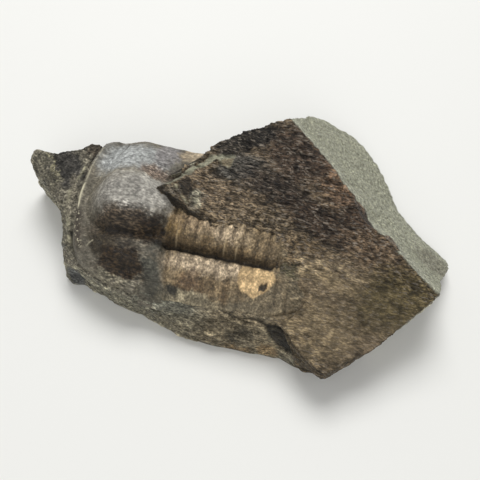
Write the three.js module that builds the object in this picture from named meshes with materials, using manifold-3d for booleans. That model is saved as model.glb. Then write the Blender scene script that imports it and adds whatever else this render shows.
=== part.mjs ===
// A trilobite in its piece of shale, in millimetres, +Z up, lying on z = 0.
// +X runs along the fossil from its head to its tail, and +Y to the side where the rock stands highest.
// The rock is one broken block. A higher layer of it still covers the tail and the far side of the fossil.
// The fossil is one body: head shield, thorax and what shows of the tail, set in a pocket of its own shape.

import * as THREE from 'three';
import { mergeVertices } from 'three/addons/utils/BufferGeometryUtils.js';
import Module from 'manifold-3d';

const wasm = await Module();
wasm.setup();

// A height above the whole block, and the room between the fossil and its pocket
const SKY = 20;
const GAP = 0.3;

// How closely the surfaces are drawn: the points along a wall, its levels, and the cells of a broken surface
const WALL_STEP = 1.7;
const BLOCK_LEVELS = [0, 0.7, 2.2, 3.8, 5.4, 7.2, 9.4, 12, 15];
const LAYER_LEVELS = [3.5, 6.5, 8.5, 10, 11.5, 15];
const GRID_CELL = 1.14;
const BLOCK_BOUNDS = [-32, -26, 32, 26];
const FOSSIL_BOUNDS = [-21.5, -16, 12, 8.5];

// The fossil's relief: points round the head and the body, and a grid with more columns over the thorax
const HEAD_POINTS = 34;
const BODY_POINTS = 30;
const RELIEF_GRID = { columns: 82, rows: 35, headShare: 0.31 };

// How far the ledges along the bedding stand out of a wall, and how far the block's lowest edge is worn back
const BLOCK_WALL = { ledge: 0.3, chamfer: 0.4 };
const LAYER_WALL = { ledge: 0.12, chamfer: 0 };
const LEDGE_SIZE = { along: 3.1, thick: 1.3, wander: 9, wanderHeight: 0.5 };
const CHAMFER_LUMPS = { size: 2.3, share: 0.6 };

// How rough each surface is: the height of its broad lumps, then of the small ones on them
const BED_ROUGHNESS = [0.18, 0.12];
const BEVEL_ROUGHNESS = [0.1, 0.15];
const LAYER_ROUGHNESS = [0.27, 0.18];
const FRACTURE_ROUGHNESS = [0.35, 0.2];
const BROAD_LUMP = [4.1, 3.3];
const SMALL_LUMP = [1.7, 1.4];

// The bedding plane that the fossil lies on falls gently towards the near side.
// It droops under the near corner of the head, and the fossil's body reaches a little way below it.
const BED = { level: 7.2, middleY: -5, slope: 0.164, droop: 0.9, droopY: [-10.5, -15], droopX: [-5, -9] };
const FOSSIL_DEPTH = 1.4;

// The bevel down the left end of the block, which rises inwards from a line through this point
const BEVEL = { x: -24.5, y: -5, inX: 0.79, inY: 0.61, level: 6.1, slope: 0.75, slopeY: 0.27, crease: 0.5 };

// The higher layer's top: a nearly level plane at the far side and a steeper one at the near side
const FAR_PLANE = { x: 0, y: 3, level: 11.75, slopeX: -0.083, slopeY: 0.13 };
const NEAR_PLANE = { x: 7.4, y: -7.5, level: 9.4, slopeX: -0.058, slopeY: 0.46 };
const LAYER_CREASE = 1.2;
const LAYER_FALL = { fromX: 12, slope: 0.08 };

// The layer's left tip rides up over the fossil's head, and its near corner is worn down.
const LAYER_TIP = { x: -10.5, y: -3, reachX: 5, reachY: 4, rise: 0.75 };
const LAYER_CORNER = { x: 10.5, y: -17.6, reachX: 2.6, reachY: 2.6, rise: -1.1 };

// The fresh fracture at the far right: where its top edge starts, the way it faces, and how it falls
const FRACTURE = { x: 3.1, y: 11.6, outX: 0.61, outY: 0.79, level: 12.5 };
const FRACTURE_FALL = { out: 0.82, ease: 0.008, along: 0.19 };
const FRACTURE_WAVE = { height: 0.35, rate: 0.22 };
const FRACTURE_HOLLOW = { along: 14, reach: 6.5, depth: 0.155 };
const FRACTURE_BITE = { along: 16, reach: 2, reachOut: 3, depth: 1.1 };

// Each point of the block's outline: x, y, the height at which the wall passes through it,
// and how far the wall leans out for each millimetre that it goes down.
const BLOCK_OUTLINE = [
  [-28.6, -0.3, 7.5, -0.06],
  [-28.2, 0.8, 8.2, 0.0],
  [-26.3, 0.9, 8.6, 0.0],
  [-24.8, 1.6, 8.8, -0.06],
  [-22.8, 2.5, 8.8, -0.1],
  [-21.2, 3.8, 9.0, -0.1],
  [-19.1, 3.5, 9.0, -0.1],
  [-17.8, 4.1, 9.5, 0.0],
  [-16.1, 4.1, 9.6, 0.0],
  [-14.5, 5.0, 9.6, 0.0],
  [-12.4, 4.9, 9.6, 0.0],
  [-9.2, 5.1, 9.5, 0.1],
  [-6.2, 4.6, 10.5, 0.1],
  [-5.2, 5.0, 11.5, 0.1],
  [-3.3, 6.9, 12.0, 0.1],
  [-1.5, 8.7, 12.2, 0.1],
  [0.6, 10.0, 12.4, 0.1],
  [3.0, 11.5, 12.5, 0.15],
  [4.0, 14.3, 10.0, 0.1],
  [5.4, 18.4, 7.0, 0.0],
  [7.2, 19.4, 5.5, -0.2],
  [9.8, 20.1, 5.0, -0.3],
  [11.8, 20.4, 3.5, -0.4],
  [13.0, 19.7, 2.5, -0.4],
  [16.3, 16.9, 1.5, -0.6],
  [18.7, 13.2, 1.2, -0.6],
  [20.8, 8.9, 1.2, -0.6],
  [24.5, 5.6, 1.2, -0.6],
  [27.8, 4.2, 1.5, -0.6],
  [28.0, 2.7, 2.0, -0.5],
  [26.3, -1.5, 4.0, -0.3],
  [25.4, -5.4, 6.6, -0.25],
  [23.8, -7.9, 6.4, -0.25],
  [21.7, -10.6, 6.0, -0.25],
  [19.2, -13.8, 5.3, -0.3],
  [16.7, -16.1, 4.6, -0.3],
  [15.2, -17.6, 4.1, -0.3],
  [14.1, -18.3, 3.8, -0.35],
  [12.7, -17.9, 3.6, -0.4],
  [11.4, -17.3, 3.2, -0.3],
  [10.3, -16.3, 3.0, 0.0],
  [8.2, -14.1, 5.5, 0.35],
  [4.6, -14.1, 5.7, 0.38],
  [0.2, -14.5, 5.8, 0.34],
  [-2.3, -14.8, 5.8, 0.3],
  [-5.0, -15.0, 5.6, 0.18],
  [-8.6, -14.9, 5.4, -0.02],
  [-10.7, -14.8, 5.2, -0.08],
  [-12.6, -14.5, 5.0, -0.08],
  [-15.8, -13.5, 5.0, -0.06],
  [-17.5, -12.6, 4.5, 0.0],
  [-18.6, -12.4, 3.0, 0.15],
  [-19.6, -12.1, 2.5, 0.1],
  [-20.0, -11.4, 3.0, 0.05],
  [-20.8, -10.0, 4.5, -0.15],
  [-21.2, -8.2, 5.5, -0.2],
  [-22.5, -6.0, 6.0, -0.2],
  [-23.8, -4.9, 6.2, -0.2],
  [-25.3, -3.3, 6.8, -0.14],
  [-26.4, -2.6, 7.0, -0.06],
];

// The edge of the higher layer, in the same way. Its far and right sides run past the block, which ends them.
const LAYER_OUTLINE = [
  [-10.2, -3.8, 12.2, 0.3],
  [-8.6, -4.6, 11.8, 0.3],
  [-7.2, -5.3, 11.4, 0.3],
  [-6.3, -5.7, 11.2, 0.2],
  [-4.8, -5.7, 10.9, 0.2],
  [-2.6, -5.7, 10.8, 0.2],
  [-0.8, -5.2, 10.7, 0.2],
  [1.2, -4.9, 10.5, 0.2],
  [3.2, -4.9, 10.2, 0.3],
  [5.8, -5.4, 9.6, 0.3],
  [6.3, -6.2, 9.2, 0.4],
  [5.6, -8.0, 8.0, 0.4],
  [6.1, -9.4, 7.8, 0.4],
  [8.0, -9.4, 7.6, 0.3],
  [9.8, -10.6, 7.2, 0.3],
  [9.4, -12.6, 6.2, 0.2],
  [7.9, -13.9, 5.6, 0.1],
  [9.3, -15.6, 4.9, 0.0],
  [10.4, -20.0, 4.0, 0.0],
  [18.0, -24.0, 4.0, 0.0],
  [33.0, -8.0, 6.0, 0.0],
  [33.0, 24.0, 6.0, 0.0],
  [3.0, 26.0, 6.0, 0.0],
  [-4.8, 9.0, 11.0, 0.9],
  [-5.4, 4.2, 11.4, 0.9],
  [-5.9, 2.9, 11.6, 1.2],
  [-6.7, 1.4, 11.7, 1.3],
  [-7.6, -0.1, 11.8, 1.2],
  [-8.9, -1.8, 11.8, 1.0],
];

// The margin of the head shield, from the far cheek round the front to the near corner
const HEAD_MARGIN = [
  [-9.0, 7.2],
  [-14.0, 7.0],
  [-17.5, 5.6],
  [-19.4, 3.4],
  [-20.1, 0.8],
  [-20.3, -2.2],
  [-20.1, -4.8],
  [-19.5, -7.5],
  [-18.6, -10.0],
  [-17.3, -11.9],
  [-15.7, -12.9],
  [-14.0, -13.5],
  [-12.3, -13.9],
  [-10.4, -14.2],
  [-8.0, -14.4],
];

// The rest of the fossil's edge: along the near flank, round the tail and back under the higher layer
const BODY_EDGE = [
  [-6.0, -14.4],
  [-1.9, -14.1],
  [2.5, -13.7],
  [6.0, -13.3],
  [9.0, -12.0],
  [10.6, -10.2],
  [10.2, -8.2],
  [8.5, -6.4],
  [6.5, -4.7],
  [3.0, -3.8],
  [-1.0, -3.5],
  [-5.0, -3.4],
  [-6.0, -1.5],
  [-4.6, 2.0],
  [-3.6, 7.4],
];

// The cheeks rise inwards from the head's margin, and each has a bulge of its own.
const CHEEK = { margin: 0.45, rise: 1.45, from: 0.9, to: 5.2 };
const NEAR_CHEEK = { x: -12.6, y: -11, reachX: 4.2, reachY: 2.4, rise: 0.75 };
const FAR_CHEEK = { x: -14.2, y: 2.4, reachX: 4.2, reachY: 2.6, rise: 0.75 };

// The raised border round the head and the groove inside it
const BORDER = { inset: 0.5, width: 0.45, height: 0.2 };
const BORDER_GROOVE = { inset: 1.4, width: 0.5, depth: 0.1 };

// The glabella, the raised middle of the head. It falls steeply to its furrow at the near side and the back,
// and gently to the front and the far side, where a shallow hollow lies beside it.
const GLABELLA = { x: -13.6, y: -4.45, rise: 2.75, front: 5.4, back: 6.9, near: 4.05, far: 4.9 };
const GLABELLA_ROUNDING = { corner: 2.1, flat: 2.2, side: 0.62, gentle: 0.6 };
const GLABELLA_FURROW = { reach: 1.06, width: 0.12, depth: 0.45 };
const GENTLE_FRONT = [0.2, 0.85];
const GENTLE_FAR = [0.1, 0.7];
const HEAD_HOLLOW = { x: -10.6, y: 0.1, reachX: 2.0, reachY: 1.5, rise: -0.4 };

// The furrow across the back of the head, where the thorax begins. It bends back and fades along the cheeks.
const NECK = { x: -7.9, width: 0.5, depth: 0.4, lag: 0.1, bend: 0.025, straight: 3.4, fade: [6, 9] };

// The thorax: rings across a raised axis, with flat ribs to each side of it
const THORAX = { start: -7.1, pitch: 1.46, middleY: -5.05, drift: -0.035, sink: 0.2 };
const AXIS = { halfWidth: 3.15, taper: 0.07, crest: 3.2, fall: 0.09, arch: 2.1, ring: 0.3, bow: 0.12 };
const FLANK = { shoulder: 1.25, reach: 6.3, curve: 1.7, lip: 0.35, lipWidth: 0.9 };
const RIB = { height: 0.13, base: 0.06, sweep: 0.16 };
const RING_CURVE = 2.5;

// The tail turns down under the higher layer.
const TAIL = { from: 6.5, to: 10.5, drop: 0.6 };

const STONE_GREY = 0x6b6a5e;
const FOSSIL_BROWN = 0x7b6a55;

// A steady value from -1 to 1 at each whole-number corner of space
function cornerValue(i, j, k) {
  let mixed = Math.imul(i, 374761393) + Math.imul(j, 668265263) + Math.imul(k, 1440662683);
  mixed = Math.imul(mixed ^ (mixed >>> 13), 1274126177);
  return ((mixed ^ (mixed >>> 16)) >>> 0) / 2147483648 - 1;
}

// Smooth noise from -1 to 1 between those corners
function noise(x, y, z) {
  const low = [x, y, z].map(Math.floor);
  const part = [x, y, z].map((value, axis) => smoothStep(0, 1, value - low[axis]));
  let sum = 0;
  for (let corner = 0; corner < 8; corner += 1) {
    const step = [corner & 1, (corner >> 1) & 1, corner >> 2];
    const share = part.reduce((product, t, axis) => product * (step[axis] ? t : 1 - t), 1);
    sum += share * cornerValue(low[0] + step[0], low[1] + step[1], low[2] + step[2]);
  }
  return sum;
}

// Broad lumps with smaller ones on them, for a surface broken along the bedding
function lumps(x, y, [broad, small]) {
  const broadPart = noise(x / BROAD_LUMP[0], y / BROAD_LUMP[1], 2.5);
  const smallPart = noise(x / SMALL_LUMP[0], y / SMALL_LUMP[1], 7.5);
  return broad * broadPart + small * smallPart;
}

function smoothStep(low, high, value) {
  return THREE.MathUtils.smoothstep(value, low, high);
}

// A rounded bump of height 1 that fades over about one unit
function bump(t) {
  return Math.exp(-t * t);
}

// A rounded mound or hollow round a point
function mound({ x, y, reachX, reachY, rise }, atX, atY) {
  return rise * bump(Math.hypot((atX - x) / reachX, (atY - y) / reachY));
}

// A plane through a point, with a slope along x and one along y
function plane({ x, y, level, slopeX, slopeY }, atX, atY) {
  return level + slopeX * (atX - x) + slopeY * (atY - y);
}

// The lower of two heights, with the crease between them rounded over the given width
function softMin(a, b, width) {
  const overlap = Math.max(width - Math.abs(a - b), 0) / width;
  return Math.min(a, b) - (overlap * overlap * width) / 4;
}

// The level of the bedding plane under the fossil
function beddingPlane(x, y) {
  const inY = smoothStep(-BED.droopY[0], -BED.droopY[1], -y);
  const inX = smoothStep(-BED.droopX[0], -BED.droopX[1], -x);
  return BED.level + BED.slope * (y - BED.middleY) - BED.droop * inY * inX;
}

// The top of the rock round the fossil, which is bevelled down along its left end
function bedTop(x, y) {
  const level = beddingPlane(x, y) + lumps(x, y, BED_ROUGHNESS);
  const inward = (x - BEVEL.x) * BEVEL.inX + (y - BEVEL.y) * BEVEL.inY;
  const bevel = BEVEL.level + BEVEL.slope * inward + BEVEL.slopeY * (y - BEVEL.y);
  return softMin(level, bevel + lumps(x, y, BEVEL_ROUGHNESS), BEVEL.crease);
}

// The top of the higher layer
function layerTop(x, y) {
  const sheet = softMin(plane(FAR_PLANE, x, y), plane(NEAR_PLANE, x, y), LAYER_CREASE);
  const fall = LAYER_FALL.slope * Math.max(x - LAYER_FALL.fromX, 0);
  return sheet - fall + mound(LAYER_TIP, x, y) + mound(LAYER_CORNER, x, y) + lumps(x, y, LAYER_ROUGHNESS);
}

// The fresh fracture, which slopes down to the right and the far side, with one bite out of its top edge
function fractureTop(x, y) {
  const out = (x - FRACTURE.x) * FRACTURE.outX + (y - FRACTURE.y) * FRACTURE.outY;
  const along = (x - FRACTURE.x) * FRACTURE.outY - (y - FRACTURE.y) * FRACTURE.outX;
  const fallOut = FRACTURE_FALL.out * out - FRACTURE_FALL.ease * out * out;
  const slope = FRACTURE.level - fallOut - FRACTURE_FALL.along * along;
  const wave = FRACTURE_WAVE.height * Math.sin(along * FRACTURE_WAVE.rate);
  const { depth, reach } = FRACTURE_HOLLOW;
  const hollow = depth * Math.max(out, 0) * bump((along - FRACTURE_HOLLOW.along) / reach);
  const biteAlong = bump((along - FRACTURE_BITE.along) / FRACTURE_BITE.reach);
  const bite = FRACTURE_BITE.depth * biteAlong * bump(out / FRACTURE_BITE.reachOut);
  return slope + wave - hollow - bite + lumps(x, y, FRACTURE_ROUGHNESS);
}

// A closed solid through rings of points, one above the other, with a flat cap on each end
function loft(rings) {
  const count = rings[0].length;
  const corners = rings.flat().flatMap((point) => point.toArray());
  const faces = [];
  for (let level = 0; level < rings.length - 1; level += 1) {
    for (let i = 0; i < count; i += 1) {
      const a = level * count + i;
      const b = level * count + ((i + 1) % count);
      faces.push(a, b, b + count, a, b + count, a + count);
    }
  }
  const flat = (ring) => ring.map((point) => new THREE.Vector2(point.x, point.y));
  const top = (rings.length - 1) * count;
  for (const [a, b, c] of THREE.ShapeUtils.triangulateShape(flat(rings[0]), [])) {
    faces.push(c, b, a);
  }
  for (const [a, b, c] of THREE.ShapeUtils.triangulateShape(flat(rings.at(-1)), [])) {
    faces.push(top + a, top + b, top + c);
  }
  const geometry = new THREE.BufferGeometry();
  geometry.setAttribute('position', new THREE.Float32BufferAttribute(corners, 3));
  geometry.setIndex(faces);
  return geometry;
}

// The outline with points added along its longer edges
function refine(outline, step) {
  return outline.flatMap((start, i) => {
    const end = outline[(i + 1) % outline.length];
    const pieces = Math.max(1, Math.round(Math.hypot(end[0] - start[0], end[1] - start[1]) / step));
    return Array.from({ length: pieces }, (_, k) =>
      start.map((value, axis) => THREE.MathUtils.lerp(value, end[axis], k / pieces)),
    );
  });
}

// Whether an outline runs clockwise, seen from above
function runsClockwise(outline) {
  return THREE.ShapeUtils.isClockWise(outline.map(([x, y]) => new THREE.Vector2(x, y)));
}

// The outward direction at each point of an outline
function outwardAt(outline, i, clockwise) {
  const before = outline[(i + outline.length - 1) % outline.length];
  const after = outline[(i + 1) % outline.length];
  const along = new THREE.Vector2(after[0] - before[0], after[1] - before[1]).normalize();
  return clockwise ? new THREE.Vector2(-along.y, along.x) : new THREE.Vector2(along.y, -along.x);
}

// How far a ledge stands out of a wall at a place
function ledgeAt(x, y, z) {
  const wander = LEDGE_SIZE.wanderHeight * noise(x / LEDGE_SIZE.wander, y / LEDGE_SIZE.wander, 1.5);
  return noise(x / LEDGE_SIZE.along, y / LEDGE_SIZE.along, z / LEDGE_SIZE.thick + wander);
}

// How much of the chamfer is worn away at a place along the lowest edge
function chamferAt(x, y) {
  return 1 + CHAMFER_LUMPS.share * noise(x / CHAMFER_LUMPS.size, y / CHAMFER_LUMPS.size, 3.5);
}

// Broken walls that stand on an outline: each leans as its points say, with ledges along the bedding.
// The lowest ring is drawn in by the chamfer, so that the block rests inside its own edge.
function brokenWalls(outline, levels, { ledge, chamfer }) {
  const points = refine(outline, WALL_STEP);
  const clockwise = runsClockwise(points);
  const rings = levels.map((z) =>
    points.map(([x, y, height, lean], i) => {
      const out = outwardAt(points, i, clockwise);
      const cut = z === levels[0] ? chamfer * chamferAt(x, y) : 0;
      const reach = lean * Math.max(height - z, 0) + ledge * ledgeAt(x, y, z) - cut;
      return new THREE.Vector3(x + out.x * reach, y + out.y * reach, z);
    }),
  );
  return solid(loft(clockwise ? rings.map((ring) => ring.reverse()) : rings));
}

// Everything above a surface, over the whole block
function allAbove(surface) {
  const [x0, y0, x1, y1] = BLOCK_BOUNDS;
  const width = x1 - x0;
  const depth = y1 - y0;
  const columns = Math.round(width / GRID_CELL);
  const rows = Math.round(depth / GRID_CELL);
  const box = new THREE.BoxGeometry(width, depth, 2, columns, rows, 1);
  box.translate((x0 + x1) / 2, (y0 + y1) / 2, 0);
  const place = box.attributes.position;
  for (let i = 0; i < place.count; i += 1) {
    const under = place.getZ(i) < 0;
    place.setZ(i, under ? surface(place.getX(i), place.getY(i)) : SKY);
  }
  return solid(box);
}

// A three.js geometry as a solid that can be joined and cut
function solid(geometry) {
  const bare = geometry.clone();
  bare.deleteAttribute('normal');
  bare.deleteAttribute('uv');
  const merged = mergeVertices(bare, 1e-5);
  const mesh = new wasm.Mesh({
    numProp: 3,
    vertProperties: new Float32Array(merged.attributes.position.array),
    triVerts: new Uint32Array(merged.index.array),
  });
  return new wasm.Manifold(mesh);
}

// A solid as a named mesh with its own material
function namedMesh(name, body, color, roughness) {
  const { vertProperties, triVerts } = body.getMesh();
  const geometry = new THREE.BufferGeometry();
  geometry.setAttribute('position', new THREE.BufferAttribute(vertProperties, 3));
  geometry.setIndex(new THREE.BufferAttribute(triVerts, 1));
  const mesh = new THREE.Mesh(
    geometry,
    new THREE.MeshStandardMaterial({ color, roughness, metalness: 0, flatShading: true }),
  );
  mesh.name = name;
  return mesh;
}

// Points along a smooth curve through the given ones
function smoothLine(points, count) {
  const curve = new THREE.CatmullRomCurve3(points.map(([x, y]) => new THREE.Vector3(x, y, 0)));
  return curve.getSpacedPoints(count - 1).map((point) => [point.x, point.y]);
}

const HEAD_LINE = smoothLine(HEAD_MARGIN, HEAD_POINTS);

// The distance from a place to the head's margin
function marginDistance(x, y) {
  let nearest = Infinity;
  for (let i = 0; i < HEAD_LINE.length - 1; i += 1) {
    const [ax, ay] = HEAD_LINE[i];
    const [bx, by] = HEAD_LINE[i + 1];
    const length = (bx - ax) ** 2 + (by - ay) ** 2;
    const share = THREE.MathUtils.clamp(((x - ax) * (bx - ax) + (y - ay) * (by - ay)) / length, 0, 1);
    nearest = Math.min(nearest, Math.hypot(x - ax - share * (bx - ax), y - ay - share * (by - ay)));
  }
  return nearest;
}

// The glabella's height over the cheeks, with the furrow beside it and behind it
function glabellaRelief(x, y) {
  const forward = x - GLABELLA.x;
  const sideways = y - GLABELLA.y;
  const along = forward / (forward < 0 ? GLABELLA.front : GLABELLA.back);
  const across = sideways / (sideways < 0 ? GLABELLA.near : GLABELLA.far);
  const { corner, flat, side } = GLABELLA_ROUNDING;
  const reach = (Math.abs(along) ** corner + Math.abs(across) ** corner) ** (1 / corner);
  const gentle = Math.max(smoothStep(...GENTLE_FRONT, -along), smoothStep(...GENTLE_FAR, across));
  const dome = GLABELLA.rise * Math.max(1 - reach ** flat, 0) ** (side + GLABELLA_ROUNDING.gentle * gentle);
  const furrow = GLABELLA_FURROW.depth * (1 - gentle);
  return dome - furrow * bump((reach - GLABELLA_FURROW.reach) / GLABELLA_FURROW.width);
}

// The head shield's height over the bedding plane: two cheeks inside a raised border, and the glabella
function headRelief(x, y) {
  const inset = marginDistance(x, y);
  const cheek = CHEEK.margin + CHEEK.rise * smoothStep(CHEEK.from, CHEEK.to, inset);
  const border = BORDER.height * bump((inset - BORDER.inset) / BORDER.width);
  const groove = BORDER_GROOVE.depth * bump((inset - BORDER_GROOVE.inset) / BORDER_GROOVE.width);
  const bulges = mound(NEAR_CHEEK, x, y) + mound(FAR_CHEEK, x, y) + mound(HEAD_HOLLOW, x, y);
  return cheek + border - groove + bulges + glabellaRelief(x, y);
}

// The thorax's height over the bedding plane
function thoraxRelief(x, y) {
  const run = x - THORAX.start;
  const half = AXIS.halfWidth - AXIS.taper * run;
  const off = Math.abs(y - THORAX.middleY - THORAX.drift * run);
  const beyond = Math.max(off - half, 0);
  const sweep = RIB.sweep * beyond - AXIS.bow * Math.max(1 - off / half, 0);
  const phase = (run - sweep) / THORAX.pitch;
  const ridge = 1 - Math.abs(2 * (phase - Math.floor(phase)) - 1) ** RING_CURVE;
  if (off < half) {
    const arch = Math.sqrt(1 - (off / half) ** AXIS.arch);
    const rise = AXIS.crest - AXIS.fall * run - FLANK.shoulder;
    return FLANK.shoulder - THORAX.sink + rise * arch + AXIS.ring * ridge * Math.min(arch * 2, 1);
  }
  const fade = Math.max(1 - (beyond / FLANK.reach) ** FLANK.curve, 0);
  const lip = FLANK.lip * smoothStep(0, FLANK.lipWidth, beyond);
  const rib = (RIB.base + RIB.height * ridge) * Math.min(fade * 2, 1);
  return (FLANK.shoulder + lip) * fade - THORAX.sink + rib;
}

// The fossil's top, where the head gives way to the thorax at the furrow behind it
function fossilTop(x, y) {
  const off = Math.abs(y - THORAX.middleY);
  const back = NECK.x + NECK.lag * off + NECK.bend * Math.max(off - NECK.straight, 0) ** 2;
  const blend = smoothStep(back - NECK.width, back + NECK.width, x);
  const groove = NECK.depth * bump((x - back) / NECK.width) * (1 - smoothStep(...NECK.fade, off));
  const drop = TAIL.drop * smoothStep(TAIL.from, TAIL.to, x);
  const relief = headRelief(x, y) * (1 - blend) + thoraxRelief(x, y) * blend;
  return beddingPlane(x, y) + relief - groove - drop;
}

// A column over the fossil's edge, spread outwards by a margin, with a floor that lies along the bedding
function fossilPrism(spread) {
  const edge = [...smoothLine(HEAD_MARGIN, HEAD_POINTS), ...smoothLine(BODY_EDGE, BODY_POINTS)];
  const clockwise = runsClockwise(edge);
  const floor = edge.map(([x, y], i) => {
    const out = outwardAt(edge, i, clockwise).multiplyScalar(spread);
    const level = BED.level + BED.slope * (y - BED.middleY) - FOSSIL_DEPTH - spread;
    return new THREE.Vector3(x + out.x, y + out.y, level);
  });
  const roof = floor.map((point) => new THREE.Vector3(point.x, point.y, SKY));
  return solid(loft(clockwise ? [floor.reverse(), roof.reverse()] : [floor, roof]));
}

// Everything above the fossil's relief, which is raised by a margin for its pocket
function fossilAbove(lift) {
  const { columns, rows, headShare } = RELIEF_GRID;
  const [x0, y0, x1, y1] = FOSSIL_BOUNDS;
  const thoraxStart = NECK.x - NECK.width;
  const box = new THREE.BoxGeometry(1, y1 - y0, 2, columns, rows, 1);
  box.translate(0.5, (y0 + y1) / 2, 0);
  const place = box.attributes.position;
  for (let i = 0; i < place.count; i += 1) {
    const share = place.getX(i);
    const overHead = THREE.MathUtils.lerp(x0, thoraxStart, share / headShare);
    const overBody = THREE.MathUtils.lerp(thoraxStart, x1, (share - headShare) / (1 - headShare));
    const x = share < headShare ? overHead : overBody;
    place.setX(i, x);
    place.setZ(i, place.getZ(i) < 0 ? fossilTop(x, place.getY(i)) + lift : SKY);
  }
  return solid(box);
}

const walls = brokenWalls(BLOCK_OUTLINE, BLOCK_LEVELS, BLOCK_WALL);
const lowerRock = walls.subtract(allAbove(bedTop));
const layerWalls = brokenWalls(LAYER_OUTLINE, LAYER_LEVELS, LAYER_WALL);
const higherLayer = walls.intersect(layerWalls).subtract(allAbove(layerTop));
const block = lowerRock.add(higherLayer).subtract(allAbove(fractureTop));
const fossil = fossilPrism(0).subtract(fossilAbove(0)).intersect(walls);
const pocket = fossilPrism(GAP).subtract(fossilAbove(GAP));

const model = new THREE.Group();
model.add(namedMesh('rock_matrix', block.subtract(pocket), STONE_GREY, 0.92));
model.add(namedMesh('trilobite', fossil, FOSSIL_BROWN, 0.7));

// The model stands with the middle of its box over the origin.
const box = new THREE.Box3().setFromObject(model);
const middle = box.getCenter(new THREE.Vector3());
model.position.set(-middle.x, -middle.y, -box.min.z);

const group = new THREE.Group();
group.add(model);

export default group;
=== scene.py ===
"""A trilobite in its broken piece of shale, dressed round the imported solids.

Sizes in the classes are millimetres in the drawing frame of the part's source: +X along the fossil from
its head to its tail, +Y to the side where the rock stands highest, +Z up. A pair of numbers that is eased
between gives 0 at its first number and 1 at its second. Meshes are turned into metres at the very end.
"""

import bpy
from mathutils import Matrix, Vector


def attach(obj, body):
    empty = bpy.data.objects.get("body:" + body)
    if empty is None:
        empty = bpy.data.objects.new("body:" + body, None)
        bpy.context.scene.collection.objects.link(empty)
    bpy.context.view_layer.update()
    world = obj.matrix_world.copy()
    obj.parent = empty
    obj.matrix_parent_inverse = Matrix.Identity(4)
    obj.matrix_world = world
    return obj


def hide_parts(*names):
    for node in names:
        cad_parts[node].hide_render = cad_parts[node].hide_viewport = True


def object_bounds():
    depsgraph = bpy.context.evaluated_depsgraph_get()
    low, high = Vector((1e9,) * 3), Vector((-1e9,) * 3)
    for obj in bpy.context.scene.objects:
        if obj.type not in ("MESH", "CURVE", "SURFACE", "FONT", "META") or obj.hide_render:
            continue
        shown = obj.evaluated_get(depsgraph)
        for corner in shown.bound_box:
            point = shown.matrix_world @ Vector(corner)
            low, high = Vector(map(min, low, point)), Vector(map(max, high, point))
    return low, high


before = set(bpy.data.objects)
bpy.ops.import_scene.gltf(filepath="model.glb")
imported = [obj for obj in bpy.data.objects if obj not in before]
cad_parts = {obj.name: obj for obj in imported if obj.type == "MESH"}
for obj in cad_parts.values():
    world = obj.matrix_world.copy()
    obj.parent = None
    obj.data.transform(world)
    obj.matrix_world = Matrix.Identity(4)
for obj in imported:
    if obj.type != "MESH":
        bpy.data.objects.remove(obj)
CAD_BOX = [list(corner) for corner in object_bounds()]

import logging
import math
from dataclasses import dataclass
from enum import Enum

import bmesh
import bpy
import numpy as np
from mathutils import Vector
from mathutils.bvhtree import BVHTree

LOG = logging.getLogger("trilobite")
MM = 0.001
SHIFT = (0.52601, -0.99843, 0.0)
BOX_CLEARANCE = 0.012
FAR_AWAY = 30.0
CORNER_PRIMES = (np.uint32(374761393), np.uint32(668265263), np.uint32(1440662683))
MIXING_PRIME = np.uint32(1274126177)
HALF_OF_WHOLES = 2147483648.0
FOLD_POWER = 0.8
OVAL_EDGE = (1.3, 0.6)

Array = np.ndarray
Point = tuple[float, float]
Line = tuple[Point, ...]
Spot = tuple[float, float, float]
Sizes = tuple[float, ...]
Screen = tuple[int, int, int]
Socket = bpy.types.NodeSocket


class Slot(Enum):
    """The material slots of the record."""

    SHALE = "shale"
    FOSSIL = "fossil"


class Upright(Enum):
    """The axis that a patch of colour is turned about: it lies on the top or on a wall."""

    ON_TOP = (0.0, 0.0, 1.0)
    ON_WALL = (0.0, 1.0, 0.0)


def ease(low: float, high: float, value: Array) -> Array:
    """Eases from 0 to 1 between two values.

    Args:
        low: the value that gives 0.
        high: the value that gives 1, which may be below low.
        value: the values to ease.

    Returns:
        The eased values.
    """
    share = np.clip((value - low) / (high - low), 0.0, 1.0)
    return share * share * (3.0 - 2.0 * share)


def bump(t: Array) -> Array:
    """A rounded bump of height 1 that fades over about one unit."""
    return np.exp(-t * t)


def corner_value(i: Array, j: Array, k: Array) -> Array:
    """A steady value from -1 to 1 at each whole-number corner of space.

    Args:
        i, j, k: whole numbers along x, y and z.

    Returns:
        One value for each corner.
    """
    whole = [np.asarray(part, dtype=np.int64).astype(np.uint32) for part in (i, j, k)]
    mixed = whole[0] * CORNER_PRIMES[0] + whole[1] * CORNER_PRIMES[1] + whole[2] * CORNER_PRIMES[2]
    mixed = (mixed ^ (mixed >> np.uint32(13))) * MIXING_PRIME
    return (mixed ^ (mixed >> np.uint32(16))).astype(np.float64) / HALF_OF_WHOLES - 1.0


def noise(x: Array, y: Array, z: Array) -> Array:
    """Smooth noise from -1 to 1 between the corners of space.

    Args:
        x, y, z: the places in cells, where z may be one number.

    Returns:
        The noise at each place.
    """
    x, y, z = np.broadcast_arrays(x, y, z)
    low = [np.floor(part) for part in (x, y, z)]
    near = [ease(0.0, 1.0, part - base) for part, base in zip((x, y, z), low)]
    total = np.zeros(x.shape)
    for corner in range(8):
        step = (corner & 1, (corner >> 1) & 1, corner >> 2)
        share = np.ones(x.shape)
        for axis in range(3):
            share = share * (near[axis] if step[axis] else 1.0 - near[axis])
        total += share * corner_value(low[0] + step[0], low[1] + step[1], low[2] + step[2])
    return total


def wrinkle(x: Array, y: Array, z: Array) -> Array:
    """Noise folded into sharp crests, from -1 in the hollows to 1 on the crests."""
    return 1.0 - 2.0 * np.abs(noise(x, y, z)) ** FOLD_POWER


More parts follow.
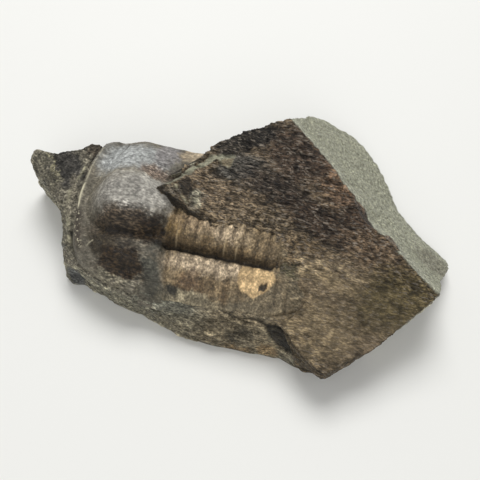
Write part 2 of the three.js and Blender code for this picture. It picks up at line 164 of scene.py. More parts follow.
def line_distance(x: Array, y: Array, line: Line) -> Array:
    """The distance from each place to an open line of points.

    Args:
        x, y: the places.
        line: the points of the line.

    Returns:
        The distance from each place to the nearest part of the line.
    """
    nearest = np.full(x.shape, np.inf)
    for (ax, ay), (bx, by) in zip(line, line[1:]):
        length = (bx - ax) ** 2 + (by - ay) ** 2
        share = np.clip(((x - ax) * (bx - ax) + (y - ay) * (by - ay)) / length, 0.0, 1.0)
        nearest = np.minimum(nearest, np.hypot(x - ax - share * (bx - ax), y - ay - share * (by - ay)))
    return nearest


def inside_line(x: Array, y: Array, line: Line) -> Array:
    """Whether each place lies inside a closed line of points.

    Args:
        x, y: the places.
        line: the points of the line, which closes on itself.

    Returns:
        True for each place inside.
    """
    inside = np.zeros(x.shape, dtype=bool)
    for (ax, ay), (bx, by) in zip(line, line[1:] + line[:1]):
        if ay == by:
            continue
        crosses = (ay > y) != (by > y)
        inside ^= crosses & (x < (bx - ax) * (y - ay) / (by - ay) + ax)
    return inside


def soft_inside(x: Array, y: Array, line: Line, edge: float) -> Array:
    """How far inside a closed line each place lies, eased from 0 to 1 across the line.

    Args:
        x, y: the places.
        line: the points of the line, which closes on itself.
        edge: half the width of the eased edge.

    Returns:
        The eased value at each place.
    """
    away = line_distance(x, y, line + line[:1])
    return ease(-edge, edge, np.where(inside_line(x, y, line), away, -away))


def smooth_line(points: Line, steps: int) -> Line:
    """A smooth curve through the given points.

    Args:
        points: the points that the curve passes through.
        steps: the pieces that each span is cut into.

    Returns:
        The points of the curve.
    """
    given = [np.array(point) for point in points]
    ends = [2 * given[0] - given[1]] + given + [2 * given[-1] - given[-2]]
    curve = []
    for before, start, end, after in zip(ends, ends[1:], ends[2:], ends[3:]):
        for step in range(steps):
            t = step / steps
            bend = (2 * before - 5 * start + 4 * end - after) * t * t
            twist = (3 * start - before - 3 * end + after) * t ** 3
            curve.append(tuple(0.5 * (2 * start + (end - before) * t + bend + twist)))
    return (*curve, points[-1])


def ellipse(x: Array, y: Array, centre: Point, half: Point, turn: float = 0.0) -> Array:
    """A soft oval patch, 1 in its middle and 0 past its edge.

    Args:
        x, y: the places.
        centre: the middle of the patch.
        half: the half sizes of the patch.
        turn: the turn of the patch in degrees.

    Returns:
        The strength of the patch at each place.
    """
    c, s = math.cos(math.radians(turn)), math.sin(math.radians(turn))
    along = ((x - centre[0]) * c + (y - centre[1]) * s) / half[0]
    across = ((y - centre[1]) * c - (x - centre[0]) * s) / half[1]
    return ease(*OVAL_EDGE, np.hypot(along, across))


@dataclass(frozen=True)
class Grain:
    """Steady noise of one size: its seed, the cells along x and y, its height, and whether it is folded."""

    seed: float
    cells: Point
    height: float = 1.0
    folded: bool = False

    def at(self, x: Array, y: Array, push_x: Array | float = 0.0, push_y: Array | float = 0.0) -> Array:
        """The grain's height at each place.

        Args:
            x, y: the places.
            push_x: how far the pattern is pushed along x, in cells.
            push_y: how far the pattern is pushed along y, in cells.

        Returns:
            The height at each place.
        """
        pattern = wrinkle if self.folded else noise
        return self.height * pattern(x / self.cells[0] + push_x, y / self.cells[1] + push_y, self.seed)


def layered(grains: tuple[Grain, ...], x: Array, y: Array) -> Array:
    """The summed height of several grains."""
    return sum(grain.at(x, y) for grain in grains)


def from_ring_middle(phase: Array) -> Array:
    """How far each place is from the middle of its ring: 0 there, 1 in the grooves."""
    return np.abs(2.0 * (phase - np.floor(phase)) - 1.0)


@dataclass
class RockForm:
    """The heights of the rock's broken surfaces, in millimetres."""

    bed_level: float = 7.2
    bed_middle: float = -5.0
    bed_slope: float = 0.164
    bed_droop: float = 0.9
    droop_y: Point = (10.5, 15.0)
    droop_x: Point = (5.0, 9.0)
    bevel_start: Point = (-24.5, -5.0)
    bevel_inward: Point = (0.79, 0.61)
    bevel_level: float = 6.1
    bevel_slope: float = 0.75
    bevel_slope_y: float = 0.27
    bevel_crease: float = 0.5
    far_plane: Sizes = (0.0, 3.0, 11.75, -0.083, 0.13)
    near_plane: Sizes = (7.4, -7.5, 9.4, -0.058, 0.46)
    layer_crease: float = 1.2
    fall_from: float = 12.0
    fall_slope: float = 0.08
    layer_tip: Sizes = (-10.5, -3.0, 5.0, 4.0, 0.75)
    layer_corner: Sizes = (10.5, -17.6, 2.6, 2.6, -1.1)
    fracture_start: Point = (3.1, 11.6)
    fracture_out: Point = (0.61, 0.79)
    fracture_level: float = 12.5
    fracture_fall: Sizes = (0.82, 0.008, 0.19)
    fracture_wave: Point = (0.35, 0.22)
    fracture_hollow: Sizes = (14.0, 6.5, 0.155)
    fracture_bite: Sizes = (16.0, 2.0, 3.0, 1.1)
    bed_lumps: Point = (0.18, 0.12)
    bevel_lumps: Point = (0.1, 0.15)
    layer_lumps: Point = (0.27, 0.18)
    fracture_lumps: Point = (0.35, 0.2)
    near_step: Line = (
        (-10.2, -3.8), (-8.6, -4.6), (-7.2, -5.3), (-6.3, -5.7), (-4.8, -5.7), (-2.6, -5.7), (-0.8, -5.2),
        (1.2, -4.9), (3.2, -4.9), (5.8, -5.4), (6.3, -6.2), (5.6, -8.0), (6.1, -9.4), (8.0, -9.4),
        (9.8, -10.6), (9.4, -12.6), (7.9, -13.9), (9.3, -15.6),
    )
    chip_inner: Line = (
        (-9.3, -3.2), (-8.6, -2.65), (-7.85, -1.8), (-7.35, -1.05), (-6.75, -0.45), (-6.4, 0.4), (-5.9, 0.9),
        (-5.35, 1.6), (-4.95, 2.0), (-4.4, 2.85), (-3.95, 2.5), (-3.3, 2.1), (-2.65, 2.05), (-2.3, 2.65),
        (-2.4, 3.35), (-2.15, 4.05),
    )
    chip_outer: Line = (
        (-2.7, 4.15), (-3.4, 3.85), (-4.1, 3.6), (-4.6, 3.35), (-5.3, 3.1), (-5.55, 2.8), (-5.85, 2.0),
        (-6.65, 1.25), (-7.25, 0.3), (-7.75, -0.6), (-8.15, -1.6), (-8.65, -2.4), (-9.4, -3.1),
    )
    # A narrow notch under the layer's far lip, painted dark: partly a dark coating and partly painted shade
    # in the gap
    wedge: Line = (
        (-7.8, -0.45), (-7.1, 1.0), (-6.25, 2.5), (-5.6, 3.3), (-5.35, 3.0), (-5.85, 2.0), (-6.65, 1.25),
        (-7.25, 0.3), (-7.75, -0.6),
    )
    blotch: Line = (
        (-7.95, -1.95), (-7.3, -1.5), (-6.8, -1.05), (-6.45, -1.2), (-6.4, -1.6), (-6.15, -2.1), (-5.8, -2.8),
        (-5.85, -3.55), (-6.15, -3.75), (-6.75, -3.45), (-7.3, -2.85),
    )
    tip_blotch: Line = ((-10.2, -3.6), (-9.5, -2.95), (-9.05, -2.8), (-9.0, -3.3), (-9.2, -3.8))
    cut_back: Line = (
        (-10.1, -3.45), (-8.7, -3.95), (-7.45, -4.35), (-6.6, -4.65), (-5.65, -5.05), (-4.5, -5.2),
        (-3.4, -5.3), (-3.4, -6.9), (-6.5, -7.0), (-9.2, -6.2), (-11.8, -4.6), (-11.2, -2.2), (-9.6, 0.2),
        (-8.3, 0.6), (-7.75, -0.5), (-8.15, -1.55), (-8.65, -2.4), (-9.4, -3.0),
    )
    near_break: Line = (*cut_back[:6], (-3.9, -5.25))
    layer_lip: Line = (
        (11.6, 4.4), (12.55, 3.85), (13.4, 3.3), (14.2, 3.1), (14.85, 3.0), (15.4, 2.4), (15.95, 1.4),
        (16.3, -0.1), (16.9, -0.7), (17.4, -0.6), (18.35, 0.45), (18.8, 0.25), (19.3, -0.5), (20.0, -1.25),
        (19.4, -2.3), (17.6, -2.2), (15.8, -1.4), (13.8, 0.4), (12.4, 2.2), (11.2, 3.6),
    )
    # Raised ridges on the layer, painted pale along their crests: painted highlight
    highlit_ridges: tuple[Line, ...] = (
        ((6.1, -5.6), (6.9, -5.9), (7.8, -6.4), (8.8, -7.0)),
        ((8.7, -7.9), (9.6, -7.7), (10.5, -7.8)),
        ((10.5, -6.8), (11.4, -6.5), (12.6, -6.7), (13.8, -6.8), (15.1, -7.3), (16.0, -7.5)),
    )
    tip_vein: Line = ((-8.0, -2.6), (-7.45, -3.2), (-6.8, -3.75), (-6.1, -4.25))
    # A crack on the layer, cut in and painted dark: painted shade in the crack
    crack: Line = ((7.5, -12.75), (8.2, -12.45), (9.05, -11.9), (10.2, -12.3))
    # A line along the near wall, in x and height, grooved and painted dark: painted shadow under an
    # overhanging ledge
    ledge_shadow: Line = (
        (-3.8, 5.6), (-2.6, 5.5), (-1.4, 5.7), (0.4, 5.7), (1.9, 5.55), (2.6, 5.2), (3.4, 5.15), (4.4, 5.45),
        (5.2, 5.4), (6.1, 5.25),
    )
    # A patch on the near wall, in x and height, cut in slightly and painted dark: painted shade on a steep
    # face
    dark_face: Line = (
        (6.0, 5.3), (7.0, 5.4), (8.0, 5.6), (8.7, 4.9), (9.4, 3.9), (9.95, 3.1), (9.3, 2.0), (8.0, 2.5),
        (7.1, 3.8), (6.4, 4.7),
    )
    face_vein: Line = ((6.2, 4.7), (7.0, 3.6), (7.9, 2.3), (9.2, 1.8))
    blue_patch: Line = (
        (1.9, 3.1), (3.0, 3.4), (3.5, 4.1), (4.8, 3.9), (5.7, 3.6), (5.2, 2.5), (5.7, 1.5), (4.6, 1.5),
        (3.9, 0.8), (3.0, 1.8), (2.5, 1.9),
    )
    corner_face: Line = (
        (7.9, 6.4), (8.1, 5.6), (8.8, 4.9), (9.5, 3.9), (10.05, 3.1), (10.5, 2.0), (11.0, -1.0), (29.0, -1.0),
        (29.0, 13.0), (7.9, 13.0),
    )
    pale_vein: Line = (
        (-21.65, -3.8), (-21.3, -5.1), (-20.6, -7.0), (-20.0, -8.65), (-19.5, -9.7), (-18.4, -10.9),
        (-16.9, -12.4),
    )
    short_vein: Line = ((-20.95, 0.0), (-21.1, -0.8), (-21.15, -1.6), (-21.3, -2.6), (-21.45, -4.0))
    # A crevice by the head's near margin, cut in and painted dark: painted shade in the crevice
    crevice: Line = ((-19.5, -8.9), (-19.1, -9.65), (-18.3, -10.6), (-16.9, -12.2), (-16.0, -12.75))
    broad_lumps: Grain = Grain(2.5, (4.1, 3.3))
    small_lumps: Grain = Grain(7.5, (1.7, 1.4))

    def lumps(self, x: Array, y: Array, heights: Point) -> Array:
        """Broad lumps with smaller ones on them, of the given heights."""
        return heights[0] * self.broad_lumps.at(x, y) + heights[1] * self.small_lumps.at(x, y)

    def soft_min(self, a: Array, b: Array, width: float) -> Array:
        """The lower of two heights, with the crease between them rounded over a width."""
        overlap = np.maximum(width - np.abs(a - b), 0.0) / width
        return np.minimum(a, b) - overlap * overlap * width / 4.0

    def plane(self, y: Array) -> Array:
        """The level of the bedding plane before it droops."""
        return self.bed_level + self.bed_slope * (y - self.bed_middle)

    def bedding(self, x: Array, y: Array) -> Array:
        """The level of the bedding plane under the fossil."""
        droop = ease(*self.droop_y, -y) * ease(*self.droop_x, -x)
        return self.plane(y) - self.bed_droop * droop

    def bed_top(self, x: Array, y: Array) -> Array:
        """The top of the rock round the fossil, bevelled down along its left end.

        Args:
            x, y: the places.

        Returns:
            The height at each place.
        """
        level = self.bedding(x, y) + self.lumps(x, y, self.bed_lumps)
        right, up = x - self.bevel_start[0], y - self.bevel_start[1]
        inward = right * self.bevel_inward[0] + up * self.bevel_inward[1]
        bevel = self.bevel_level + self.bevel_slope * inward + self.bevel_slope_y * up
        return self.soft_min(level, bevel + self.lumps(x, y, self.bevel_lumps), self.bevel_crease)

    def layer_top(self, x: Array, y: Array) -> Array:
        """The top of the higher layer.

        Args:
            x, y: the places.

        Returns:
            The height at each place.
        """
        sheets = []
        for px, py, level, slope_x, slope_y in (self.far_plane, self.near_plane):
            sheets.append(level + slope_x * (x - px) + slope_y * (y - py))
        top = self.soft_min(sheets[0], sheets[1], self.layer_crease)
        top = top - self.fall_slope * np.maximum(x - self.fall_from, 0.0)
        for mx, my, reach_x, reach_y, rise in (self.layer_tip, self.layer_corner):
            top = top + rise * bump(np.hypot((x - mx) / reach_x, (y - my) / reach_y))
        return top + self.lumps(x, y, self.layer_lumps)

    def fracture_place(self, x: Array, y: Array) -> tuple[Array, Array]:
        """How far each place lies out from the fracture's top edge, and along it.

        Args:
            x, y: the places.

        Returns:
            The distance out and the distance along.
        """
        right, up = x - self.fracture_start[0], y - self.fracture_start[1]
        out = right * self.fracture_out[0] + up * self.fracture_out[1]
        return out, right * self.fracture_out[1] - up * self.fracture_out[0]

    def fracture_top(self, x: Array, y: Array) -> Array:
        """The fresh fracture, which slopes down to the right and the far side.

        Args:
            x, y: the places.

        Returns:
            The height at each place.
        """
        out, along = self.fracture_place(x, y)
        fall, curve, along_fall = self.fracture_fall
        slope = self.fracture_level - fall * out + curve * out * out - along_fall * along
        wave = self.fracture_wave[0] * np.sin(along * self.fracture_wave[1])
        at, reach, depth = self.fracture_hollow
        hollow = depth * np.maximum(out, 0.0) * bump((along - at) / reach)
        bite_at, bite_reach, bite_out, bite_depth = self.fracture_bite
        bite = bite_depth * bump((along - bite_at) / bite_reach) * bump(out / bite_out)
        return slope + wave - hollow - bite + self.lumps(x, y, self.fracture_lumps)


@dataclass
class FossilForm:
    """The trilobite's relief over the bedding plane, in millimetres."""

    rock: RockForm
    margin: Line = (
        (-9.0, 7.2), (-14.0, 7.0), (-17.5, 5.6), (-19.4, 3.4), (-20.1, 0.8), (-20.3, -2.2), (-20.1, -4.8),
        (-19.5, -7.5), (-18.6, -10.0), (-17.3, -11.9), (-15.7, -12.9), (-14.0, -13.5), (-12.3, -13.9),
        (-10.4, -14.2), (-8.0, -14.4),
    )
    body_edge: Line = (
        (-6.0, -14.4), (-1.9, -14.1), (2.5, -13.7), (6.0, -13.3), (9.0, -12.0), (10.6, -10.2), (10.2, -8.2),
        (8.5, -6.4), (6.5, -4.7), (3.0, -3.8), (-1.0, -3.5), (-5.0, -3.4), (-6.0, -1.5), (-4.6, 2.0),
        (-3.6, 7.4),
    )
    cheek: Sizes = (0.45, 1.45, 0.9, 5.2)
    cheek_bulges: tuple[Sizes, ...] = ((-12.6, -11.0, 4.2, 2.4, 0.75), (-14.2, 2.4, 4.2, 2.6, 0.75))
    border: Sizes = (0.5, 0.45, 0.2)
    border_groove: Sizes = (1.4, 0.5, 0.1)
    glabella_middle: Point = (-13.6, -4.45)
    glabella_reach: Sizes = (5.4, 6.9, 4.05, 4.9)
    glabella_rise: float = 2.75
    glabella_rounding: Sizes = (2.1, 2.2, 0.62, 0.6)
    glabella_furrow: Sizes = (1.06, 0.12, 0.45)
    gentle_front: Point = (0.2, 0.85)
    gentle_far: Point = (0.1, 0.7)
    head_hollow: Sizes = (-10.6, 0.1, 2.0, 1.5, -0.4)
    neck: Sizes = (-7.9, 0.5, 0.4)
    neck_bend: Sizes = (0.1, 0.025, 3.4)
    neck_fade: Point = (6.0, 9.0)
    thorax_start: float = -7.1
    pitch: float = 1.46
    middle: float = -5.05
    drift: float = -0.035
    sink: float = 0.2
    axis_half: float = 3.15
    axis_taper: float = 0.07
    crest: float = 3.2
    crest_fall: float = 0.09
    arch: float = 2.1
    ring: float = 0.3
    ring_bow: float = 0.12
    ring_curve: float = 2.5
    shoulder: float = 1.25
    flank_reach: float = 6.3
    flank_curve: float = 1.7
    lip: Point = (0.35, 0.9)
    rib: Sizes = (0.13, 0.06, 0.16)
    tail: Sizes = (6.5, 10.5, 0.6)
    ring_wander: Grain = Grain(61.5, (1.6, 1.9), 0.12)
    ring_unevenness: Sizes = (0.75, 0.3, 0.6)
    ring_far_side: Point = (-1.5, 2.5)
    edge_gain: float = 2.0
    ring_seed: tuple[int, int] = (5, 3)
    line_steps: int = 3

    def __post_init__(self) -> None:
        """Draws the smooth lines that the head and the whole fossil end on."""
        self.head_line = smooth_line(self.margin, self.line_steps)
        self.edge_line = self.head_line + smooth_line(self.body_edge, self.line_steps)

    def inset(self, x: Array, y: Array) -> Array:
        """The distance of each place inside the fossil's edge, negative outside it."""
        away = line_distance(x, y, self.edge_line + self.edge_line[:1])
        return np.where(inside_line(x, y, self.edge_line), away, -away)

    def head_inset(self, x: Array, y: Array) -> Array:
        """The distance of each place from the head's margin, negative outside the fossil."""
        away = line_distance(x, y, self.head_line)
        return np.where(inside_line(x, y, self.edge_line), away, -away)

    def glabella_relief(self, x: Array, y: Array) -> Array:
        """The height of the glabella over the cheeks, with the furrow round it.

        Args:
            x, y: the places.

        Returns:
            The height at each place.
        """
        front, back, near, far = self.glabella_reach
        forward, sideways = x - self.glabella_middle[0], y - self.glabella_middle[1]
        along = forward / np.where(forward < 0, front, back)
        across = sideways / np.where(sideways < 0, near, far)
        corner, flat, side, softer = self.glabella_rounding
        reach = (np.abs(along) ** corner + np.abs(across) ** corner) ** (1.0 / corner)
        gentle = np.maximum(ease(*self.gentle_front, -along), ease(*self.gentle_far, across))
        dome = self.glabella_rise * np.maximum(1.0 - reach ** flat, 0.0) ** (side + softer * gentle)
        at, width, depth = self.glabella_furrow
        depth = depth * (1.0 - gentle)
        return dome - depth * bump((reach - at) / width)

    def head_relief(self, x: Array, y: Array) -> Array:
        """The head shield: two cheeks inside a raised border, and the glabella.

        Args:
            x, y: the places.

        Returns:
            The height over the bedding plane at each place.
        """
        away = line_distance(x, y, self.head_line)
        low, rise, start, end = self.cheek
        relief = low + rise * ease(start, end, away)
        at, width, height = self.border
        relief = relief + height * bump((away - at) / width)
        at, width, depth = self.border_groove
        relief = relief - depth * bump((away - at) / width)
        for mx, my, reach_x, reach_y, height in (*self.cheek_bulges, self.head_hollow):
            relief = relief + height * bump(np.hypot((x - mx) / reach_x, (y - my) / reach_y))
        return relief + self.glabella_relief(x, y)

    def thorax_place(self, x: Array, y: Array) -> tuple[Array, Array, Array, Array]:
        """Where each place is on the thorax.

        Args:
            x, y: the places.

        Returns:
            The run behind the head, the offset from the axis (positive to the far side), the axis's half
            width there, and the count of rings so far.
        """
        run = x - self.thorax_start
        half = self.axis_half - self.axis_taper * run
        off = y - self.middle - self.drift * run
        beyond = np.maximum(np.abs(off) - half, 0.0)
        sweep = self.rib[2] * beyond - self.ring_bow * np.maximum(1.0 - np.abs(off) / half, 0.0)
        return run, off, half, (run - sweep) / self.pitch + self.ring_wander.at(x, y)

    def thorax_relief(self, x: Array, y: Array) -> Array:
        """The thorax: rings over a raised axis, with flat ribs to each side of it.

        Args:
            x, y: the places.

        Returns:
            The height over the bedding plane at each place.
        """
        run, off, half, phase = self.thorax_place(x, y)
        away = np.abs(off)
        beyond = np.maximum(away - half, 0.0)
        ridge = 1.0 - from_ring_middle(phase) ** self.ring_curve
        even, uneven, far = self.ring_unevenness
        uneven = uneven * corner_value(np.floor(phase), *self.ring_seed)
        ridge = ridge * (even + uneven + far * ease(*self.ring_far_side, off))
        arch = np.sqrt(np.maximum(1.0 - (away / half) ** self.arch, 0.0))
        rise = self.crest - self.crest_fall * run - self.shoulder
        rings = self.ring * ridge * np.minimum(arch * self.edge_gain, 1.0)
        on_axis = self.shoulder - self.sink + rise * arch + rings
        fade = np.maximum(1.0 - (beyond / self.flank_reach) ** self.flank_curve, 0.0)
        lip = self.lip[0] * ease(0.0, self.lip[1], beyond)
        rib = (self.rib[1] + self.rib[0] * ridge) * np.minimum(fade * self.edge_gain, 1.0)
        on_flank = (self.shoulder + lip) * fade - self.sink + rib
        return np.where(away < half, on_axis, on_flank)

    def body_share(self, x: Array, y: Array) -> tuple[Array, Array]:
        """The share of the thorax in the relief, and the depth of the furrow behind the head.

        Args:
            x, y: the places.

        Returns:
            The share, from 0 on the head to 1 on the thorax, and the depth.
        """
        at, width, depth = self.neck
        lag, bend, straight = self.neck_bend
        off = np.abs(y - self.middle)
        back = at + lag * off + bend * np.maximum(off - straight, 0.0) ** 2
        groove = depth * bump((x - back) / width) * (1.0 - ease(*self.neck_fade, off))
        return ease(-width, width, x - back), groove

    def top(self, x: Array, y: Array) -> Array:
        """The fossil's top surface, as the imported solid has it.

        Args:
            x, y: the places.

        Returns:
            The height at each place.
        """
        share, groove = self.body_share(x, y)
        start, end, drop = self.tail
        relief = self.head_relief(x, y) * (1.0 - share) + self.thorax_relief(x, y) * share
        return self.rock.bedding(x, y) + relief - groove - drop * ease(start, end, x)


class MeshTools:
    """Steps that both pieces share between a bmesh in millimetres and the finished object in metres."""

    @staticmethod
    def copy_of_node(name: str) -> bmesh.types.BMesh:
        """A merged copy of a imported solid, in millimetres in the drawing frame.

        Args:
            name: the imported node.

        Returns:
            The copy as a new bmesh.
        """
        mesh = bmesh.new()
        mesh.from_mesh(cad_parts[name].data)
        bmesh.ops.remove_doubles(mesh, verts=mesh.verts, dist=1e-7)
        bmesh.ops.scale(mesh, vec=Vector((1.0 / MM,) * 3), verts=mesh.verts)
        bmesh.ops.translate(mesh, vec=-Vector(SHIFT), verts=mesh.verts)
        return mesh

    @staticmethod
    def finished(mesh: bmesh.types.BMesh, target: bpy.types.Mesh) -> bpy.types.Mesh:
        """Writes a bmesh into a mesh and frees it.

        Args:
            mesh: the bmesh, which is freed.
            target: the mesh that takes its shape.

        Returns:
            The same mesh.
        """
        mesh.to_mesh(target)
        mesh.free()
        return target

    @staticmethod
    def read(mesh: bpy.types.Mesh, what: str = "co") -> Array:
        """What a mesh's vertices hold, one row of three numbers each.

        Args:
            mesh: the mesh.
            what: "co" for their places or "normal" for their normals.

        Returns:
            One row for each vertex.
        """
        flat = np.empty(len(mesh.vertices) * 3)
        mesh.vertices.foreach_get(what, flat)
        return flat.reshape(-1, 3)

    @staticmethod
    def put(mesh: bpy.types.Mesh, places: Array) -> None:
        """Moves a mesh's vertices to the given places."""
        mesh.vertices.foreach_set("co", places.ravel())
        mesh.update()

    @staticmethod
    def mark(mesh: bpy.types.Mesh, name: str, values: Array) -> None:
        """Stores one number for each vertex under a name that the materials read."""
        layer = mesh.attributes.new(name, "FLOAT", "POINT")
        layer.data.foreach_set("value", values.astype(np.float32))

    @staticmethod
    def new_piece(name: str, mesh: bpy.types.Mesh) -> bpy.types.Object:
        """Moves a finished mesh into the row's frame, in metres, inside the solids' box, and shows it.

        Args:
            name: the piece's name.
            mesh: its mesh, in millimetres in the drawing frame.

        Returns:
            The smooth-shaded object, at the origin.
        """
        places = (MeshTools.read(mesh) + np.array(SHIFT)) * MM
        low, high = (np.array(corner) for corner in CAD_BOX)
        gap = BOX_CLEARANCE * MM * np.array((1.0, 1.0, 0.0))
        MeshTools.put(mesh, np.clip(places, low + gap, high - gap))
        mesh.shade_smooth()
        return MeshTools.show(name, mesh)

    @staticmethod
    def show(name: str, data: bpy.types.ID) -> bpy.types.Object:
        """Puts a mesh, a light or a camera into the scene.

        Args:
            name: the object's name.
            data: what the object shows.

        Returns:
            The new object.
        """
        shown = bpy.data.objects.new(name, data)
        bpy.context.scene.collection.objects.link(shown)
        return shown


@dataclass
class RockMatrix:
    """The broken block of shale with the higher layer that grew as one piece with it."""

    form: RockForm
    fossil: FossilForm
    voxel: float = 0.205
    smoothing: int = 3
    fine_part: Sizes = (-10.9, -6.4, -1.6, 4.8)
    fine_above: float = 9.4
    left_foot: Sizes = (-25.6, -3.0, 1.9, 0.75)
    fill_cell: float = 0.14
    fill_bounds: Sizes = (-21.6, -15.6, 11.6, 7.8)
    cover_height: float = 0.35
    blur: float = 0.3
    nearly_all: float = 0.97
    on_block: float = 2.0
    bed_gap: float = 0.04
    rim_width: float = 0.45
    rim_height: float = 0.4
    under_fossil: float = 0.85
    under_layer: float = 0.42
    fill_margin: float = 0.55
    fill_depth: float = 2.0
    fill_least: float = 0.1
    flat_below: float = 0.05
    feather_reach: float = 2.4
    feather_x: Point = (-6.6, -4.6)
    feather_height: float = 0.3
    scallop: float = 0.5
    scallop_least: float = 0.12
    scallop_curve: float = 2.6
    tip_at: Point = (-10.1, -3.45)
    tip_drop: float = 0.45
    shoulder_from: float = -12.6
    shoulder_x: Point = (-15.0, -9.0)
    shoulder_end: Point = (9.5, 7.5)
    shoulder_rise: float = 0.5
    shoulder_fall: float = 0.55
    shoulder_curve: float = 1.6
    cut_depth: float = 0.3
    chip_width: float = 0.7
    chip_slope: float = 0.3
    wedge_depth: float = 0.16
    crevice_depth: float = 0.35
    groove_depth: float = 0.28
    ridge_height: float = 0.16
    face_depth: float = 0.15
    layer_warp: Grain = Grain(31.5, (1.1, 1.1), 0.35)
    layer_flakes: Grain = Grain(11.5, (1.4, 0.58), 0.2, True)
    layer_grain: Grain = Grain(13.5, (0.75, 0.42), 0.22)
    layer_dust: Grain = Grain(15.5, (0.48, 0.34), 0.14)
    finer_at: Point = (16.0, -11.0)
    finer_half: Point = (11.0, 7.5)
    finer_share: float = 0.5
    cut_grains: tuple[Grain, ...] = (
        Grain(17.5, (1.9, 1.9), 0.12), Grain(18.5, (1.1, 1.1), 0.07, True),
        Grain(19.5, (0.62, 0.62), 0.1), Grain(21.5, (0.4, 0.4), 0.1),
    )
    bed_ridges: Grain = Grain(23.5, (0.42, 4.0), 0.1)
    bed_threads: tuple[Sizes, ...] = ((-0.07, 0.42, 0.22), (0.05, 0.95, 0.2))
    bed_grains: tuple[Grain, ...] = (Grain(25.5, (0.9, 0.9), 0.12), Grain(27.5, (0.42, 0.42), 0.1))
    flaky_at: Point = (-23.4, -0.6)
    flaky_half: Point = (3.4, 2.4)
    flaky_turn: float = -53.0
    flaky_grain: Grain = Grain(28.5, (0.42, 0.42), 0.14)
    wall_tilt: float = 0.12
    wall_sway: Grain = Grain(33.5, (2.5, 2.5), 0.15)
    wall_ledges: tuple[Sizes, ...] = ((3.2, 0.5, 0.14), (1.3, 0.3, 0.16))
    wall_blocks: tuple[Sizes, ...] = ((1.3, 1.1, 0.14), (0.45, 0.36, 0.11))
    wall_sink: float = 0.15

    def build(self, solids: BVHTree) -> bpy.types.Object:
        """Models the rock and marks its surfaces.

        Args:
            solids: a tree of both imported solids, in millimetres.

        Returns:
            The finished rock.
        """
        mesh = self._remeshed(self._filled_block(solids))
        self._flatten_base(mesh)
        self._refine(mesh)
        self._roughen(mesh)
        return MeshTools.new_piece("shale_rock", mesh)

    def dress(self, rock: bpy.types.Object, material: bpy.types.Material) -> None:
        """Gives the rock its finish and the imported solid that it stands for.

        Args:
            rock: the finished rock.
            material: the shale's material.
        """
        rock.data.materials.append(material)
        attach(rock, "root")
        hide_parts("rock_matrix")

    def _filled_block(self, solids: BVHTree) -> bpy.types.Mesh:
        """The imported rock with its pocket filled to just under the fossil.

        Args:
            solids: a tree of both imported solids.

        Returns:
            One mesh that holds the rock and the filler.
        """
        both = MeshTools.copy_of_node("rock_matrix")
        filler = self._filler(solids)
        both.from_mesh(filler)
        bpy.data.meshes.remove(filler)
        return MeshTools.finished(both, bpy.data.meshes.new("filled_block"))

    def _filler(self, solids: BVHTree) -> bpy.types.Mesh:
        """The rock that the fossil rests on, up to where the layer comes down over it.

        Args:
            solids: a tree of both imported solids.

        Returns:
            The filler as a closed slab.
        """
        grid = Heightfield(self.fill_bounds, self.fill_cell)
        x, y = grid.x, grid.y
        top = self.fossil.top(x, y)
        hits = grid.cast_down(solids)
        covered = grid.blurred(hits > top + self.cover_height, self.blur) > self.nearly_all
        inset = self.fossil.inset(x, y)
        bed = self.form.bed_top(x, y) - self.bed_gap
        rim = ease(self.rim_width, 0.0, inset)
        level = (top - self.under_fossil) * (1.0 - rim) + np.minimum(bed, top + self.rim_height) * rim
        level = np.where(covered, top + self.under_layer, level)
        inside = grid.blurred(hits > self.on_block, self.blur) > self.nearly_all
        floor = self.form.plane(y) - self.fill_depth
        mesh = grid.closed(inside & (inset > -self.fill_margin), "filler")
        places = MeshTools.read(mesh)
        spot = grid.lookup(places)
        level = np.maximum(level, floor + self.fill_least)[spot]
        places[:, 2] = np.where(places[:, 2] > grid.half_way, level, floor[spot])
        MeshTools.put(mesh, places)
        return mesh

    def _remeshed(self, joined: bpy.types.Mesh) -> bpy.types.Mesh:
        """One even skin round the filled block.

        Args:
            joined: the block and its filler, which this removes.

        Returns:
            The skin as a new mesh.
        """
        carrier = MeshTools.show("remesh_carrier", joined)
        skin = carrier.modifiers.new("skin", "REMESH")
        skin.mode = "VOXEL"
        skin.voxel_size = self.voxel
        skin.adaptivity = 0.0
        graph = bpy.context.evaluated_depsgraph_get()
        mesh = bpy.data.meshes.new_from_object(carrier.evaluated_get(graph))
        bpy.data.objects.remove(carrier)
        bpy.data.meshes.remove(joined)
        smooth = bmesh.new()
        smooth.from_mesh(mesh)
        every_way = {"use_axis_x": True, "use_axis_y": True, "use_axis_z": True}
        for _ in range(self.smoothing):
            bmesh.ops.smooth_vert(smooth, verts=smooth.verts, factor=0.5, **every_way)
        mesh.name = "shale_rock"
        return MeshTools.finished(smooth, mesh)

    def _flatten_base(self, mesh: bpy.types.Mesh) -> None:
        """Makes the underside one flat face.

        Args:
            mesh: the rock's mesh, which this changes.
        """
        base = bmesh.new()
        base.from_mesh(mesh)
        for vert in base.verts:
            if vert.co.z < self.flat_below:
                vert.co.z = 0.0
        flat = [face for face in base.faces if all(vert.co.z == 0.0 for vert in face.verts)]
        bmesh.ops.dissolve_faces(base, faces=flat, use_verts=True)
        MeshTools.finished(base, mesh)

    def _refine(self, mesh: bpy.types.Mesh) -> None:
        """Gives the layer's broken tip, with its fine chips and cracks, a mesh twice as fine.

        Args:
            mesh: the rock's mesh, which this changes.
        """
        low_x, low_y, high_x, high_y = self.fine_part
        fine = bmesh.new()
        fine.from_mesh(mesh)
        near_tip = set()
        for vert in fine.verts:
            x, y, z = vert.co
            if low_x < x < high_x and low_y < y < high_y and z > self.fine_above:
                near_tip.add(vert)
        edges = [edge for edge in fine.edges if edge.verts[0] in near_tip and edge.verts[1] in near_tip]
        bmesh.ops.subdivide_edges(fine, edges=edges, cuts=1, use_grid_fill=True)
        MeshTools.finished(fine, mesh)

